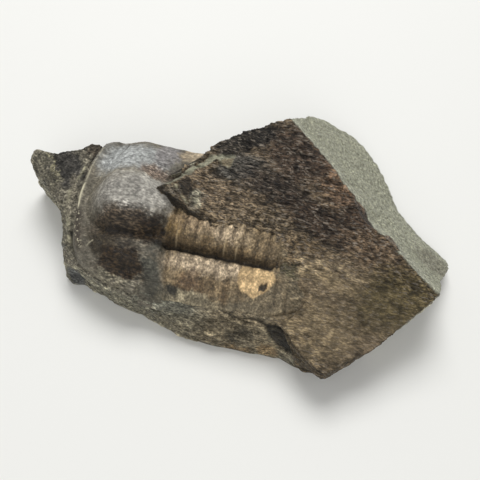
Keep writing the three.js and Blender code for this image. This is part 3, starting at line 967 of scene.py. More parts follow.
    def _roughen(self, mesh: bpy.types.Mesh) -> None:
        """Gives each surface its own broken texture and stores where each one is, with the marks of its
        painted shade and highlights.

        Args:
            mesh: the rock's mesh, which this changes.
        """
        places = MeshTools.read(mesh)
        normals = MeshTools.read(mesh, "normal")
        foot_x, foot_y, foot_reach, foot_in = self.left_foot
        foot = bump(np.hypot(places[:, 0] - foot_x, places[:, 1] - foot_y) / foot_reach)
        foot = foot_in * foot * ease(6.3, 4.2, places[:, 2])
        places[:, 0] += foot * self.form.bevel_inward[0]
        places[:, 1] += foot * self.form.bevel_inward[1]
        x, y, z = places.T
        form = self.form
        steep = 1.0 - ease(0.3, 0.62, normals[:, 2])
        layer_level, bed_level, cut_level = form.layer_top(x, y), form.bed_top(x, y), form.fracture_top(x, y)
        facing = normals[:, 0] * form.fracture_out[0] + normals[:, 1] * form.fracture_out[1]
        cut = ease(0.5, 0.25, np.abs(z - cut_level)) * ease(0.2, 0.38, facing)
        cut = cut * ease(-2.5, -1.0, form.fracture_place(x, y)[0])
        layer = (1.0 - steep) * ease(0.5, 0.22, np.abs(z - layer_level)) * (1.0 - cut)
        inset = self.fossil.inset(x, y)
        bed = (1.0 - steep) * ease(0.5, 0.25, np.abs(z - bed_level)) * (1.0 - cut) * (inset < 0.1)
        bed = bed * (1.0 - layer)
        z = z + cut * (cut_level - z) + layer * (layer_level - z) + bed * (bed_level - z)
        wall = np.clip(1.0 - cut - layer - bed, 0.0, 1.0)
        fossil_level = self.fossil.top(x, y)

        step_away = line_distance(x, y, form.near_step)
        thin = ease(self.feather_reach, 0.0, step_away) * ease(*self.feather_x, x)
        thin = thin * (z > np.minimum(fossil_level, bed_level) - 0.3) * (y > -15.0)
        thin_level = np.where(inset > 0.0, fossil_level, np.maximum(bed_level, fossil_level))
        _, off, _, phase = self.fossil.thorax_place(x, y)
        valley = from_ring_middle(phase) ** self.scallop_curve
        over_rings = (off > -1.5) * (off < 3.0) * ease(5.0, 3.0, x)
        lobe = self.scallop_least + self.scallop * (1.0 - valley) * over_rings
        lobe = lobe + 0.08 * noise(x / 0.4, y / 0.4, 87.5)
        height = self.feather_height * ease(5.2, 1.8, x)
        thin_level = thin_level - 0.08 + height * ease(lobe - 0.12, lobe + 0.14, step_away)
        thin_level = thin_level + 0.1 * ease(0.6, 2.4, step_away)
        thin_level = thin_level + 0.16 * ease(0.9, 0.3, inset) * ease(5.5, 7.0, x)
        z = np.where(z > thin_level, z + thin * (thin_level - z), z)
        from_tip = np.hypot(x - self.tip_at[0], y - self.tip_at[1])
        z = z - self.tip_drop * ease(1.8, 0.2, from_tip) * (places[:, 2] > fossil_level + 0.3)
        z = np.minimum(z, self.near_shoulder(x, y) + FAR_AWAY * ease(0.5, 1.5, layer))
        from_edge = line_distance(x, y, form.cut_back + form.cut_back[:1])
        from_edge = np.where(inside_line(x, y, form.cut_back), from_edge, -from_edge)
        cut_back = ease(-0.02, 0.12, from_edge + 0.07 * noise(x / 0.35, y / 0.35, 79.5))
        z = z + cut_back * (np.minimum(z, fossil_level - self.cut_depth) - z)

        ragged_x = x + 0.13 * noise(x / 0.45, y / 0.45, 71.5)
        ragged_y = y + 0.13 * noise(x / 0.45, y / 0.45, 73.5)
        chip = soft_inside(ragged_x, ragged_y, form.chip_inner + form.chip_outer, 0.1)
        # wedge: its dark colour is partly a dark coating and partly painted shade in the gap
        wedge = soft_inside(x, y, form.wedge, 0.08)
        blotch = soft_inside(ragged_x, ragged_y, form.blotch, 0.12)
        blotch = np.maximum(blotch, soft_inside(ragged_x, ragged_y, form.tip_blotch, 0.12))
        fall = chip * np.minimum(line_distance(x, y, form.chip_inner), self.chip_width) * self.chip_slope
        z = z - (places[:, 2] > fossil_level + 0.9) * (1.0 - cut_back) * (fall + self.wedge_depth * wedge)
        # The crevice is cut in here and painted dark as painted shade
        crevice = bump(line_distance(x, y, form.crevice) / 0.28) * (1.0 - ease(0.0, 0.2, inset))
        z = z - self.crevice_depth * crevice * bed
        crack = bump(line_distance(x, y, form.crack) / 0.11) * (normals[:, 2] > 0.3)
        z = z - 0.5 * self.groove_depth * crack
        # ridge: raised here and painted pale in the material as painted highlight
        ridge = np.minimum.reduce([line_distance(ragged_x, ragged_y, line) for line in form.highlit_ridges])
        ridge = bump(ridge / 0.28) * (normals[:, 2] > 0.3)
        z = z + self.ridge_height * ridge
        front = ease(-12.6, -13.2, y)
        wavy = z + 0.12 * noise(x / 0.6, y / 0.6, 83.5)
        # Painted shadow line under the ledge on the near wall
        ledge_shadow = bump(line_distance(x, wavy, form.ledge_shadow) / 0.2) * front
        # dark_face: painted shade on a steep face of the near wall
        dark_face = soft_inside(ragged_x, wavy, form.dark_face, 0.12) * front
        corner_face = soft_inside(x, wavy, form.corner_face, 0.2) * front

        rough = self.layer_texture(x, y) * layer + layered(self.cut_grains, x, y) * cut
        rough = rough + self._bed_texture(x, y) * bed + self._wall_texture(x, y, z) * wall
        on_base = places[:, 2] == 0.0
        fade = ease(0.0, 0.5, places[:, 2])
        hidden = np.maximum(ease(0.1, 0.5, inset) * (places[:, 2] < fossil_level), cut_back)
        amount = rough * fade * (1.0 - hidden) - self.groove_depth * ledge_shadow - self.face_depth * dark_face
        moved = np.stack([x, y, z], axis=1) + normals * amount[:, None]
        moved[on_base] = places[on_base]
        moved[:, 2] = np.maximum(moved[:, 2], np.where(on_base, 0.0, 0.01))
        MeshTools.put(mesh, moved)

        # near_step: painted shade on the steep step face under the layer's near edge, and a dark strip along
        # its broken edge by the tip
        under = layer_level - places[:, 2]
        over_bed = np.minimum(places[:, 2] - bed_level, places[:, 2] - fossil_level + 0.2)
        between = ease(0.1, 0.3, under) * ease(-0.1, 0.2, over_bed)
        near = ease(1.1, 0.5, step_away) * ease(-4.5, -6.5, x)
        broken_edge = line_distance(ragged_x, ragged_y, form.near_break)
        broken_edge = broken_edge - 0.14 * ease(0.3, 3.2, from_tip)
        broken_edge = ease(0.16, 0.06, broken_edge) * (places[:, 2] > fossil_level + 0.1)
        lip = soft_inside(ragged_x, ragged_y, form.layer_lip, 0.1) * (normals[:, 2] > 0.2)
        cut = cut * (1.0 - lip)
        on_layer = np.maximum(ease(0.5, 0.25, under), thin * (x > 2.0)) * (1.0 - cut)
        high = ease(0.5, 1.0, places[:, 2] - fossil_level)
        # Near-black coat: painted shade in the wedge gap, the crevice, the crack, under the ledge and on the
        # steep dark face; the blotches are the stone's own dark stain
        stain_and_shade = np.maximum(0.7 * wedge, 0.9 * blotch) * high + 0.9 * crevice + 0.8 * crack + ledge_shadow + dark_face
        broken = ease(-0.5, 0.3, noise(x / 0.8, y / 0.8, 75.5))
        fading = 0.25 + 0.75 * ease(-2.2, -1.2, y)
        veins = 0.6 * bump(line_distance(x, y, form.pale_vein) / 0.14)
        veins = np.maximum(veins, 0.9 * fading * bump(line_distance(x, y, form.short_vein) / 0.09))
        veins = veins * (inset < 0.1) * (layer < 0.5)
        veins = np.maximum(veins, 0.7 * high * bump(line_distance(x, y, form.tip_vein) / 0.13))
        veins = np.maximum(veins, 0.6 * front * bump(line_distance(x, wavy, form.face_vein) / 0.14))
        for name, values in {
            "fracture": cut, "layer": np.maximum(on_layer, np.maximum(corner_face, lip)), "wall": wall,
            "near_step": np.maximum(between * near * ease(-7.0, -5.5, x), broken_edge),
            # relief: the height of the broken texture, which the material turns into painted shade in the
            # hollows and painted highlight on the crests
            "blue": soft_inside(ragged_x, wavy, form.blue_patch, 0.35) * front, "relief": rough * 5.0,
            "chip": np.clip(chip - wedge, 0.0, 1.0) * high, "stain_and_shade": np.clip(stain_and_shade, 0.0, 1.0),
            "vein": veins * broken, "ridge": ridge * broken,
            "cut_edge": cut * ease(1.5, 0.0, form.fracture_place(x, y)[0]),
        }.items():
            MeshTools.mark(mesh, name, values)

    def near_shoulder(self, x: Array, y: Array) -> Array:
        """The most that the near flank may stand, so that it rounds over into the wall.

        Args:
            x, y: the places.

        Returns:
            The highest level at each place, far up where there is no limit.
        """
        over = np.maximum(self.shoulder_from - y, 0.0)
        reach = ease(*self.shoulder_x, x) * ease(*self.shoulder_end, x)
        fall = self.shoulder_fall * over ** self.shoulder_curve
        level = self.form.bedding(x, y) + self.shoulder_rise - fall
        return level + FAR_AWAY * (1.0 - reach) + FAR_AWAY * (over <= 0.0)

    def layer_texture(self, x: Array, y: Array) -> Array:
        """Rough flakes drawn out along the fossil, finer towards the near right corner.

        Args:
            x, y: the places.

        Returns:
            The height of the flakes at each place.
        """
        fine = 1.0 - self.finer_share * ellipse(x, y, self.finer_at, self.finer_half)
        warp = self.layer_warp.at(x, y)
        flakes = self.layer_flakes.at(x, y, warp, warp) + self.layer_grain.at(x, y, warp)
        return (flakes + self.layer_dust.at(x, y)) * fine

    def _bed_texture(self, x: Array, y: Array) -> Array:
        """Worn ridges that run along the head's margin, and grain.

        Args:
            x, y: the places.

        Returns:
            The height of the texture at each place.
        """
        away = line_distance(x, y, self.fossil.head_line)
        rough = self.bed_ridges.at(away, x - y) + layered(self.bed_grains, x, y)
        for height, at, width in self.bed_threads:
            rough = rough + height * bump((away - at) / width)
        flaky = ellipse(x, y, self.flaky_at, self.flaky_half, self.flaky_turn)
        return rough + flaky * self.flaky_grain.at(x, y)

    def _wall_texture(self, x: Array, y: Array, z: Array) -> Array:
        """Ledges of thin bedding with broken blocks between them.

        Args:
            x, y, z: the places.

        Returns:
            The height of the texture at each place.
        """
        tilted = z - self.wall_tilt * y + self.wall_sway.at(x, y)
        total = -self.wall_sink
        for sheets, up in ((self.wall_ledges, tilted), (self.wall_blocks, z)):
            for cell, thickness, height in sheets:
                total = total + height * noise(x / cell, y / cell, up / thickness)
        return total


class Heightfield:
    """A flat grid of even cells that is cut to a shape, closed underneath and then given its heights."""

    half_way = 0.5

    def __init__(self, bounds: Sizes, cell: float) -> None:
        """Lays the grid out.

        Args:
            bounds: the lowest x and y and the highest x and y.
            cell: the length of a cell's side.
        """
        x0, y0, x1, y1 = bounds
        self.columns = int(round((x1 - x0) / cell))
        self.rows = int(round((y1 - y0) / cell))
        self.bounds = bounds
        across = np.linspace(x0, x1, self.columns + 1)
        up = np.linspace(y0, y1, self.rows + 1)
        grid_y, grid_x = np.meshgrid(up, across, indexing="ij")
        self.x, self.y = grid_x.ravel(), grid_y.ravel()
        self.cell = cell

    def cast_down(self, solids: BVHTree) -> Array:
        """The height at which a ray from above first meets the solids, or -1 where it misses.

        Args:
            solids: the tree to look for.

        Returns:
            One height for each point of the grid.
        """
        down = Vector((0.0, 0.0, -1.0))
        heights = np.full(self.x.shape, -1.0)
        for index, (px, py) in enumerate(zip(self.x, self.y)):
            hit = solids.ray_cast(Vector((px, py, FAR_AWAY)), down)[0]
            if hit is not None:
                heights[index] = hit.z
        return heights

    def blurred(self, values: Array, reach: float) -> Array:
        """The values averaged over a small square round each point.

        Args:
            values: one value for each point.
            reach: the square's half side, in millimetres.

        Returns:
            The averaged values.
        """
        spread = max(1, int(round(reach / self.cell)))
        table = values.astype(np.float64).reshape(self.rows + 1, self.columns + 1)
        for axis in (0, 1):
            total = np.zeros(table.shape)
            for step in range(-spread, spread + 1):
                total += np.roll(table, step, axis=axis)
            table = total / (2 * spread + 1)
        return table.ravel()

    def lookup(self, places: Array) -> Array:
        """The grid's point under each place.

        Args:
            places: one row for each place.

        Returns:
            The index of each point.
        """
        x0, y0, x1, y1 = self.bounds
        column = np.rint((places[:, 0] - x0) / (x1 - x0) * self.columns).astype(int)
        row = np.rint((places[:, 1] - y0) / (y1 - y0) * self.rows).astype(int)
        return row * (self.columns + 1) + column

    def closed(self, keep: Array, name: str) -> bpy.types.Mesh:
        """A closed slab over the kept points: its top at height 1, its underside at 0.

        Args:
            keep: whether each point of the grid is kept.
            name: the mesh's name.

        Returns:
            The slab, whose vertices still stand on the grid's points.
        """
        x0, y0, x1, y1 = self.bounds
        slab = bmesh.new()
        bmesh.ops.create_grid(slab, x_segments=self.columns, y_segments=self.rows, size=0.5)
        bmesh.ops.scale(slab, vec=Vector((x1 - x0, y1 - y0, 1.0)), verts=slab.verts)
        bmesh.ops.translate(slab, vec=Vector(((x0 + x1) / 2, (y0 + y1) / 2, 1.0)), verts=slab.verts)
        slab.verts.ensure_lookup_table()
        kept = keep[self.lookup(np.array([vert.co[:] for vert in slab.verts]))]
        outside = [face for face in slab.faces if not all(kept[vert.index] for vert in face.verts)]
        bmesh.ops.delete(slab, geom=outside, context="FACES")
        rim = [edge for edge in slab.edges if edge.is_boundary]
        for item in bmesh.ops.extrude_edge_only(slab, edges=rim)["geom"]:
            if isinstance(item, bmesh.types.BMVert):
                item.co.z = 0.0
        bmesh.ops.holes_fill(slab, edges=[edge for edge in slab.edges if edge.is_boundary], sides=0)
        bmesh.ops.recalc_face_normals(slab, faces=slab.faces)
        return MeshTools.finished(slab, bpy.data.meshes.new(name))


@dataclass
class Trilobite:
    """The fossil: head shield, thorax and what shows of the tail, as one body."""

    form: FossilForm
    cell: float = 0.09
    bounds: Sizes = (-21.2, -15.2, 11.2, 7.4)
    spread: float = 0.36
    dive: float = 4.0
    cover_height: float = 0.25
    cover_blur: float = 0.22
    hidden_reach: float = 1.9
    hidden_share: float = 0.99
    merged_edge: Sizes = (0.9, 0.3, 0.12)
    lift_x: Point = (-4.6, -6.6)
    lift_under_layer: float = 0.28
    lift_under_thin: float = 0.08
    lift_share: Point = (0.05, 0.6)
    shoulder_grain: Grain = Grain(63.5, (0.6, 0.6), 0.04)
    under_layer_shade_x: Point = (-4.0, -6.0)
    wall_past: Point = (-4.6, 2.5)
    wall_guess: Point = (4.0, 0.25)
    wall_missed: float = 99.0
    curtain: float = 2.9
    curtain_in: Point = (0.8, 0.6)
    curtain_sink: float = 0.2
    curtain_floor: float = 0.7
    proud: float = 0.05
    floor_depth: float = 1.75
    wave_curve: float = 1.5
    wave_side: Point = (1.2, 0.9)
    wave_share: Point = (0.32, 0.3)
    relief_shade_gain: float = 6.0
    ring_lines: Sizes = (0.9, 0.0, 0.2, 0.1, 1.0, 0.9, 0.3, 0.15, 0.0)
    groove_flat: float = 0.55
    groove_side: Sizes = (0.3, 0.9, 1.15, 1.0)
    saddle: Sizes = (-15.0, 0.15, 2.8, 1.6, 0.62)
    all_over: tuple[Grain, ...] = (Grain(41.5, (2.3, 2.3), 0.07), Grain(42.5, (0.9, 0.9), 0.03))
    relief: tuple[tuple[str, float], ...] = (
        ("furrow", -0.5), ("crest", 0.1), ("rim", 0.12), ("groove", -0.12), ("spot", -0.16),
    )
    curl: Grain = Grain(44.5, (2.0, 2.0), 0.5)
    head_hairs: Grain = Grain(43.5, (0.5, 0.26), 0.035)
    head_wrinkles: Grain = Grain(45.5, (0.95, 0.5), 0.1, True)
    wrinkle_grain: Grain = Grain(47.5, (0.4, 0.3), 0.08)
    speckled_grain: Grain = Grain(48.5, (0.35, 0.35), 0.12)
    stripes: Grain = Grain(49.5, (0.4, 1.1))
    stripe_heights: Point = (0.02, 0.04)
    body_grains: tuple[Grain, ...] = (Grain(53.5, (0.7, 0.6), 0.06), Grain(54.5, (0.3, 0.3), 0.03))
    low_y: Point = (-11.0, -13.0)
    low_grain: Grain = Grain(55.5, (1.0, 0.5), 0.1)
    ochre: Line = (
        (1.9, -8.7), (3.0, -8.4), (4.4, -8.5), (5.7, -8.75), (6.3, -9.5), (6.0, -10.2), (5.7, -10.9),
        (5.0, -11.5), (4.2, -12.0), (3.4, -11.7), (2.5, -11.5), (2.0, -10.8), (1.8, -9.8),
    )
    dark_spot: Line = (
        (4.5, -10.6), (4.8, -10.2), (5.1, -10.3), (5.4, -10.0), (5.5, -10.6), (5.2, -11.0), (4.85, -10.95),
        (4.6, -11.2),
    )
    scratch: Line = ((-16.8, -10.55), (-16.55, -10.15), (-16.2, -9.9))
    cheek_line: Line = ((-16.26, 3.9), (-16.1, 3.2), (-16.12, 2.5), (-16.4, 1.85), (-16.62, 1.25))

    def build(self, solids: BVHTree, rock: RockMatrix) -> bpy.types.Object:
        """Models the fossil and marks its furrows, ribs and rim.

        Args:
            solids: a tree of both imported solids, in millimetres.
            rock: the rock that the fossil lies in.

        Returns:
            The finished fossil.
        """
        grid = Heightfield(self.bounds, self.cell)
        x, y = grid.x, grid.y
        top = self.form.top(x, y)
        inset = self.form.inset(x, y)
        covered = grid.cast_down(solids) > top + self.cover_height
        covered = covered & ~inside_line(x, y, self.form.rock.cut_back)
        near_edge = grid.blurred(covered, self.cover_blur)
        deep = grid.blurred(covered, self.hidden_reach) > self.hidden_share
        mesh = grid.closed((inset > -self.spread) & ~deep, "trilobite_fossil")
        places = MeshTools.read(mesh)
        raised = places[:, 2] > grid.half_way
        spot = grid.lookup(places)
        marks = self._marks(x, y)
        detail = self._detail(x, y, marks)
        level = top + detail + marks["merged"] * (rock.layer_texture(x, y) - detail)
        start, end, depth = self.merged_edge
        level = level - depth * marks["merged"] * ease(start, end, inset)
        lift = self.lift_under_layer * ease(*self.lift_x, x) + self.lift_under_thin
        level = level + lift * ease(*self.lift_share, near_edge)
        level = np.minimum(level, rock.near_shoulder(x, y) + self.shoulder_grain.at(x, y))
        level = level - self.dive * np.maximum(-inset, 0.0)
        places = self._over_wall(places, raised, level[spot], solids)
        floor = self.form.rock.plane(places[:, 1]) - self.floor_depth
        places[:, 2] = np.where(raised, places[:, 2], floor)
        MeshTools.put(mesh, places)
        # relief: the fine relief and the ring undulation, which the material turns into painted shade in the
        # hollows and ring grooves and painted highlight on the ring tops
        _, off, half, phase = self.form.thorax_place(x, y)
        wave = 0.5 - from_ring_middle(phase) ** self.wave_curve
        even, more = self.wave_share
        wave = wave * marks["body"] * (even + more * ease(*self.wave_side, np.abs(off) / half))
        wave = detail * self.relief_shade_gain + wave * (1.0 - marks["merged"])
        marks["relief"] = np.clip(wave, -1.0, 1.0) * (1.0 - marks["furrow"])
        # covered: painted shade on the fossil just under the edge of the layer that lies over it
        marks["covered"] = near_edge * ease(*self.under_layer_shade_x, x)
        for name, values in marks.items():
            MeshTools.mark(mesh, name, values[spot])
        return MeshTools.new_piece("trilobite_fossil", mesh)

    def dress(self, fossil: bpy.types.Object, material: bpy.types.Material) -> None:
        """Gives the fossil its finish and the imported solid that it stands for.

        Args:
            fossil: the finished fossil.
            material: the fossil's material.
        """
        fossil.data.materials.append(material)
        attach(fossil, "root")
        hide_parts("trilobite")

    def _over_wall(self, places: Array, raised: Array, level: Array, solids: BVHTree) -> Array:
        """Lets the surface run over the broken far wall and down it.

        Args:
            places: the slab's vertices.
            raised: whether each one belongs to the top.
            level: the height of the top at each one.
            solids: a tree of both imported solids.

        Returns:
            The new places, with the heights of the top in them.
        """
        moved = places.copy()
        moved[:, 2] = level
        inward = Vector((0.0, -1.0, 0.0))
        past_x, past_y = self.wall_past
        guess_y, guess_drop = self.wall_guess
        edge_at: dict[float, Point] = {}
        for index in np.nonzero((places[:, 1] > past_y) & (places[:, 0] < past_x))[0]:
            px, py = float(places[index, 0]), float(places[index, 1])
            key = round(px, 4)
            if key not in edge_at:
                guess = self._top_at(px, guess_y) - guess_drop
                hit = solids.ray_cast(Vector((px, FAR_AWAY, guess)), inward)[0]
                edge_y = hit.y if hit is not None else self.wall_missed
                edge_at[key] = (edge_y, self._top_at(px, edge_y))
            edge_y, edge_z = edge_at[key]
            over = py - edge_y
            if over <= 0.0:
                continue
            down = edge_z - min(over, self.curtain)
            hit = solids.ray_cast(Vector((px, FAR_AWAY, down)), inward)[0]
            wall = hit.y if hit is not None else edge_y
            sunk = max(over - self.curtain, 0.0)
            moved[index, 1] = wall + self.proud - self.curtain_in[0] * min(sunk, self.curtain_in[1])
            moved[index, 2] = down - self.curtain_sink * sunk
            if not raised[index]:
                moved[index, 1] = edge_y - self.curtain_floor
        return moved

    def _top_at(self, px: float, py: float) -> float:
        """The height of the fossil's top at one place."""
        return float(self.form.top(np.array([px]), np.array([py]))[0])

    def _marks(self, x: Array, y: Array) -> dict[str, Array]:
        """Where the fossil's ribs, furrows, rim and worn parts are, each from 0 to 1.

        Args:
            x: places along x.
            y: places along y.

        Returns:
            The marks by name.
        """
        form = self.form
        _, off, half, phase = form.thorax_place(x, y)
        body, _ = form.body_share(x, y)
        near_side = -off - half
        reach = ease(-9.6, -7.4, x) * (1.0 - ease(5.5, 5.9, x + 0.3 * near_side))
        # The furrow along the axis's near side; the material paints it near black, partly its own dark
        # filling and partly painted shade
        furrow = bump((near_side - 0.34 + 0.1 * noise(x / 1.1, y / 1.1, 68.5)) / 0.42) * reach
        part = phase - np.floor(phase)
        strength = np.take(self.ring_lines, np.clip(np.floor(phase), 0, len(self.ring_lines) - 1).astype(int))
        strength = strength * ease(-0.6, 0.4, noise(x / 0.9, y / 1.1, 69.5))
        # Pale lines on the ring tops, stronger on the far side where the light falls: painted highlight
        crest = bump((part - 0.5) * form.pitch / 0.08) * strength * body
        crest = crest * (0.4 + 0.6 * ease(1.25, 0.95, -off / half)) * ease(-13.4, -12.0, y)
        # groove: cut in and painted darker, painted shade in the grooves between the rings and along the
        # cheek line
        groove = bump((part - np.rint(part)) * form.pitch / 0.17) * body
        groove = groove * ease(-0.5, 0.5, noise(x / 0.8, y / 1.6, 70.5)) * self._beside_axis(off, half)
        away = form.head_inset(x, y)
        wander = 0.08 * noise(x / 1.2, y / 1.2, 65.5)
        broken = 0.35 + 0.65 * ease(-0.4, 0.3, noise(x / 0.7, y / 0.7, 66.5))
        # rim: a pale line along the raised border and glint specks beside it, painted highlight; the scratch
        # added to it is a real pale mark
        rim_highlight = ease(-6.4, -5.6, y) * (0.3 + 0.7 * ease(0.4, -0.9, y)) * ease(3.2, 2.2, y)
        glint_specks = ease(0.3, 0.55, noise(x / 0.14, y / 0.14, 67.5)) * ease(-5.6, -6.4, y)
        glint_specks = glint_specks * bump((away - 0.4) / 0.34) * ease(-11.4, -10.4, y)
        broken = broken * (1.0 - 0.85 * bump((y + 2.35) / 0.3))
        thick = 0.08 + 0.05 * ease(-0.4, -1.4, y) * ease(-5.4, -4.4, y)
        rim = np.maximum(bump((away - 0.3 + wander) / thick) * rim_highlight * broken, 0.8 * glint_specks) * (1.0 - body)
        speckled = bump((away - 0.42) / 0.5) * ease(-5.6, -6.6, y) * ease(-11.8, -10.6, y)
        speckled = speckled * (1.0 - body)
        merged = x + 0.7 * noise(x / 1.5, y / 1.1, 77.5) + 0.4 * noise(x / 0.5, y / 0.5, 78.5)
        merged = merged + 0.8 * np.clip(off + 3.4, -3.4, 0.0) + 0.7 * np.clip(off + 0.6, 0.0, 2.6)
        merged = ease(5.6, 7.4, merged)
        cheek_line = bump(line_distance(x, y, self.cheek_line) / 0.11) * (1.0 - body)
        groove = np.maximum(groove, cheek_line)
        wrinkled = ellipse(x, y, (-12.3, -8.0), (4.8, 2.2), 4.0)
        wrinkled = np.maximum(wrinkled, ellipse(x, y, (-11.8, -12.0), (3.6, 2.4), -4.0))
        wrinkled = np.maximum(wrinkled, 0.8 * ellipse(x, y, (-11.3, -0.2), (1.7, 2.2))) * (1.0 - body)
        ragged = 0.1 * noise(x / 0.35, y / 0.35, 85.5) + 0.24 * noise(x / 1.3, y / 1.3, 86.5)
        ochre = soft_inside(x + ragged, y - ragged, self.ochre, 0.14)
        spot = soft_inside(x + 0.3 * ragged, y - 0.3 * ragged, self.dark_spot, 0.12)
        pit = ellipse(x + 2.0 * ragged, y - 1.4 * ragged, (-5.25, -13.15), (0.56, 0.46))
        scratch = 0.4 * bump(line_distance(x, y, self.scratch) / 0.09) * broken
        return {
            "furrow": furrow, "crest": crest, "rim": np.maximum(rim, scratch), "body": body,
            "speckled": speckled, "merged": merged, "groove": groove, "wrinkled": wrinkled, "ochre": ochre,
            "spot": np.maximum(spot, pit),
        }

    def _beside_axis(self, off: Array, half: Array) -> Array:
        """How plain the grooves between the rings are: most on the shoulders of the axis.

        Args:
            off: the offset from the axis at each place.
            half: the axis's half width there.

        Returns:
            The share of the groove at each place.
        """
        aside = np.abs(off) / half
        on_shoulder = ease(*self.groove_side[:2], aside) * ease(*self.groove_side[2:], aside)
        return self.groove_flat + (1.0 - self.groove_flat) * on_shoulder

    def _detail(self, x: Array, y: Array, marks: dict[str, Array]) -> Array:
        """The fine relief on the fossil.

        Args:
            x, y: the places.
            marks: where the ribs, furrows and rim are.

        Returns:
            The height to add at each place.
        """
        body = marks["body"]
        curl = self.curl.at(x, y)
        at_x, at_y, reach_x, reach_y, rise = self.saddle
        on_head = rise * bump(np.hypot((x - at_x) / reach_x, (y - at_y) / reach_y))
        on_head = on_head + self.head_hairs.at(x, y, curl, -curl)
        wrinkles = self.head_wrinkles.at(x, y, curl, curl) + self.wrinkle_grain.at(x, y)
        on_head = on_head + marks["wrinkled"] * wrinkles
        even, more = self.stripe_heights
        on_body = (even + more * marks["ochre"]) * self.stripes.at(x, y) + layered(self.body_grains, x, y)
        on_body = on_body + ease(*self.low_y, y) * self.low_grain.at(x, y)
        detail = layered(self.all_over, x, y) + marks["speckled"] * self.speckled_grain.at(x, y)
        for name, height in self.relief:
            detail = detail + height * marks[name]
        return detail + (1.0 - body) * on_head + body * on_body


class Web:
    """Adds nodes to one node tree and joins them."""

    broad_push = (0.7, (2.4, 2.4, 1.0))
    fine_push = (3.0, (1.2, 1.2, 1.2))

    def __init__(self, tree: bpy.types.NodeTree) -> None:
        """Keeps the tree that the nodes go into."""
        self.tree = tree

    def node(self, kind: str, inputs: dict | None = None, **settings: object) -> bpy.types.Node:
        """Adds a node.

        Args:
            kind: the node's type.
            inputs: a value or another node's output for each named or numbered input.
            settings: the node's own options.

        Returns:
            The new node.
        """
        made = self.tree.nodes.new(kind)
        for name, value in settings.items():
            setattr(made, name, value)
        for key, value in (inputs or {}).items():
            if isinstance(value, Socket):
                self.join(value, made.inputs[key])
            else:
                made.inputs[key].default_value = value
        return made

    def join(self, value: Socket, target: Socket) -> None:
        """Joins a node's output to another node's input."""
        self.tree.links.new(value, target)

    def math(self, operation: str, a: object, b: object = 0.0) -> Socket:
        """The result of a sum on two values."""
        return self.node("ShaderNodeMath", {0: a, 1: b}, operation=operation).outputs[0]

    def vector(self, operation: str, a: object, b: object) -> Socket:
        """The result of a sum on two vectors."""
        return self.node("ShaderNodeVectorMath", {0: a, 1: b}, operation=operation).outputs[0]

    def blend(self, share: object, a: object, b: object) -> Socket:
        """Two values mixed by a share."""
        return self.node("ShaderNodeMix", {0: share, 2: a, 3: b}, data_type="FLOAT").outputs[0]

    def mix(self, share: object, a: object, b: object, blend: str = "MIX") -> Socket:
        """Two colours mixed by a share, the second laid over the first in the given way."""
        made = self.node("ShaderNodeMix", {0: share, 6: a, 7: b}, data_type="RGBA", blend_type=blend)
        return made.outputs[2]

    def tinted(self, colour: object, tint: Socket) -> Socket:
        """A colour multiplied by a number."""
        return self.mix(1.0, colour, tint, "MULTIPLY")

    def ramp(self, value: object, low: object, high: object, to: tuple = (0.0, 1.0)) -> Socket:
        """A value eased from one range to another.

        Args:
            value: the value to ease.
            low: the value that gives the first end.
            high: the value that gives the second end.
            to: the two ends.

        Returns:
            The eased value.
        """
        inputs = {"Value": value, "From Min": low, "From Max": high, "To Min": to[0], "To Max": to[1]}
        return self.node("ShaderNodeMapRange", inputs, interpolation_type="SMOOTHSTEP").outputs["Result"]

    def noise(self, place: object, scale: object, detail: float = 2.0, rough: float = 0.5) -> Socket:
        """Noise from 0 to 1 at a place, with a scale in cells for each millimetre."""
        inputs = {"Vector": place, "Scale": scale, "Detail": detail, "Roughness": rough}
        return self.node("ShaderNodeTexNoise", inputs).outputs["Fac"]

    def mark(self, name: str) -> Socket:
        """The number that the piece's own mesh holds under a name."""
        return self.node("ShaderNodeAttribute", attribute_name=name).outputs["Fac"]

    def place(self) -> Socket:
        """The place on the piece, in millimetres in the drawing frame.

        Returns:
            The place.
        """
        coordinates = self.node("ShaderNodeTexCoord").outputs["Object"]
        larger = self.node("ShaderNodeVectorMath", {0: coordinates, "Scale": 1.0 / MM}, operation="SCALE")
        return self.vector("SUBTRACT", larger.outputs[0], SHIFT)

    def uneven(self, place: Socket) -> Socket:
        """A place pushed about by noise, so that patches of colour get ragged edges.

        Args:
            place: the place on the piece.

        Returns:
            The pushed place.
        """
        pushed = place
        for scale, push in (self.broad_push, self.fine_push):
            noise_node = self.node("ShaderNodeTexNoise", {"Vector": place, "Scale": scale, "Detail": 2.0})
            offset = self.vector("SUBTRACT", noise_node.outputs["Color"], (0.5, 0.5, 0.5))
            pushed = self.vector("ADD", pushed, self.vector("MULTIPLY", offset, push))
        return pushed


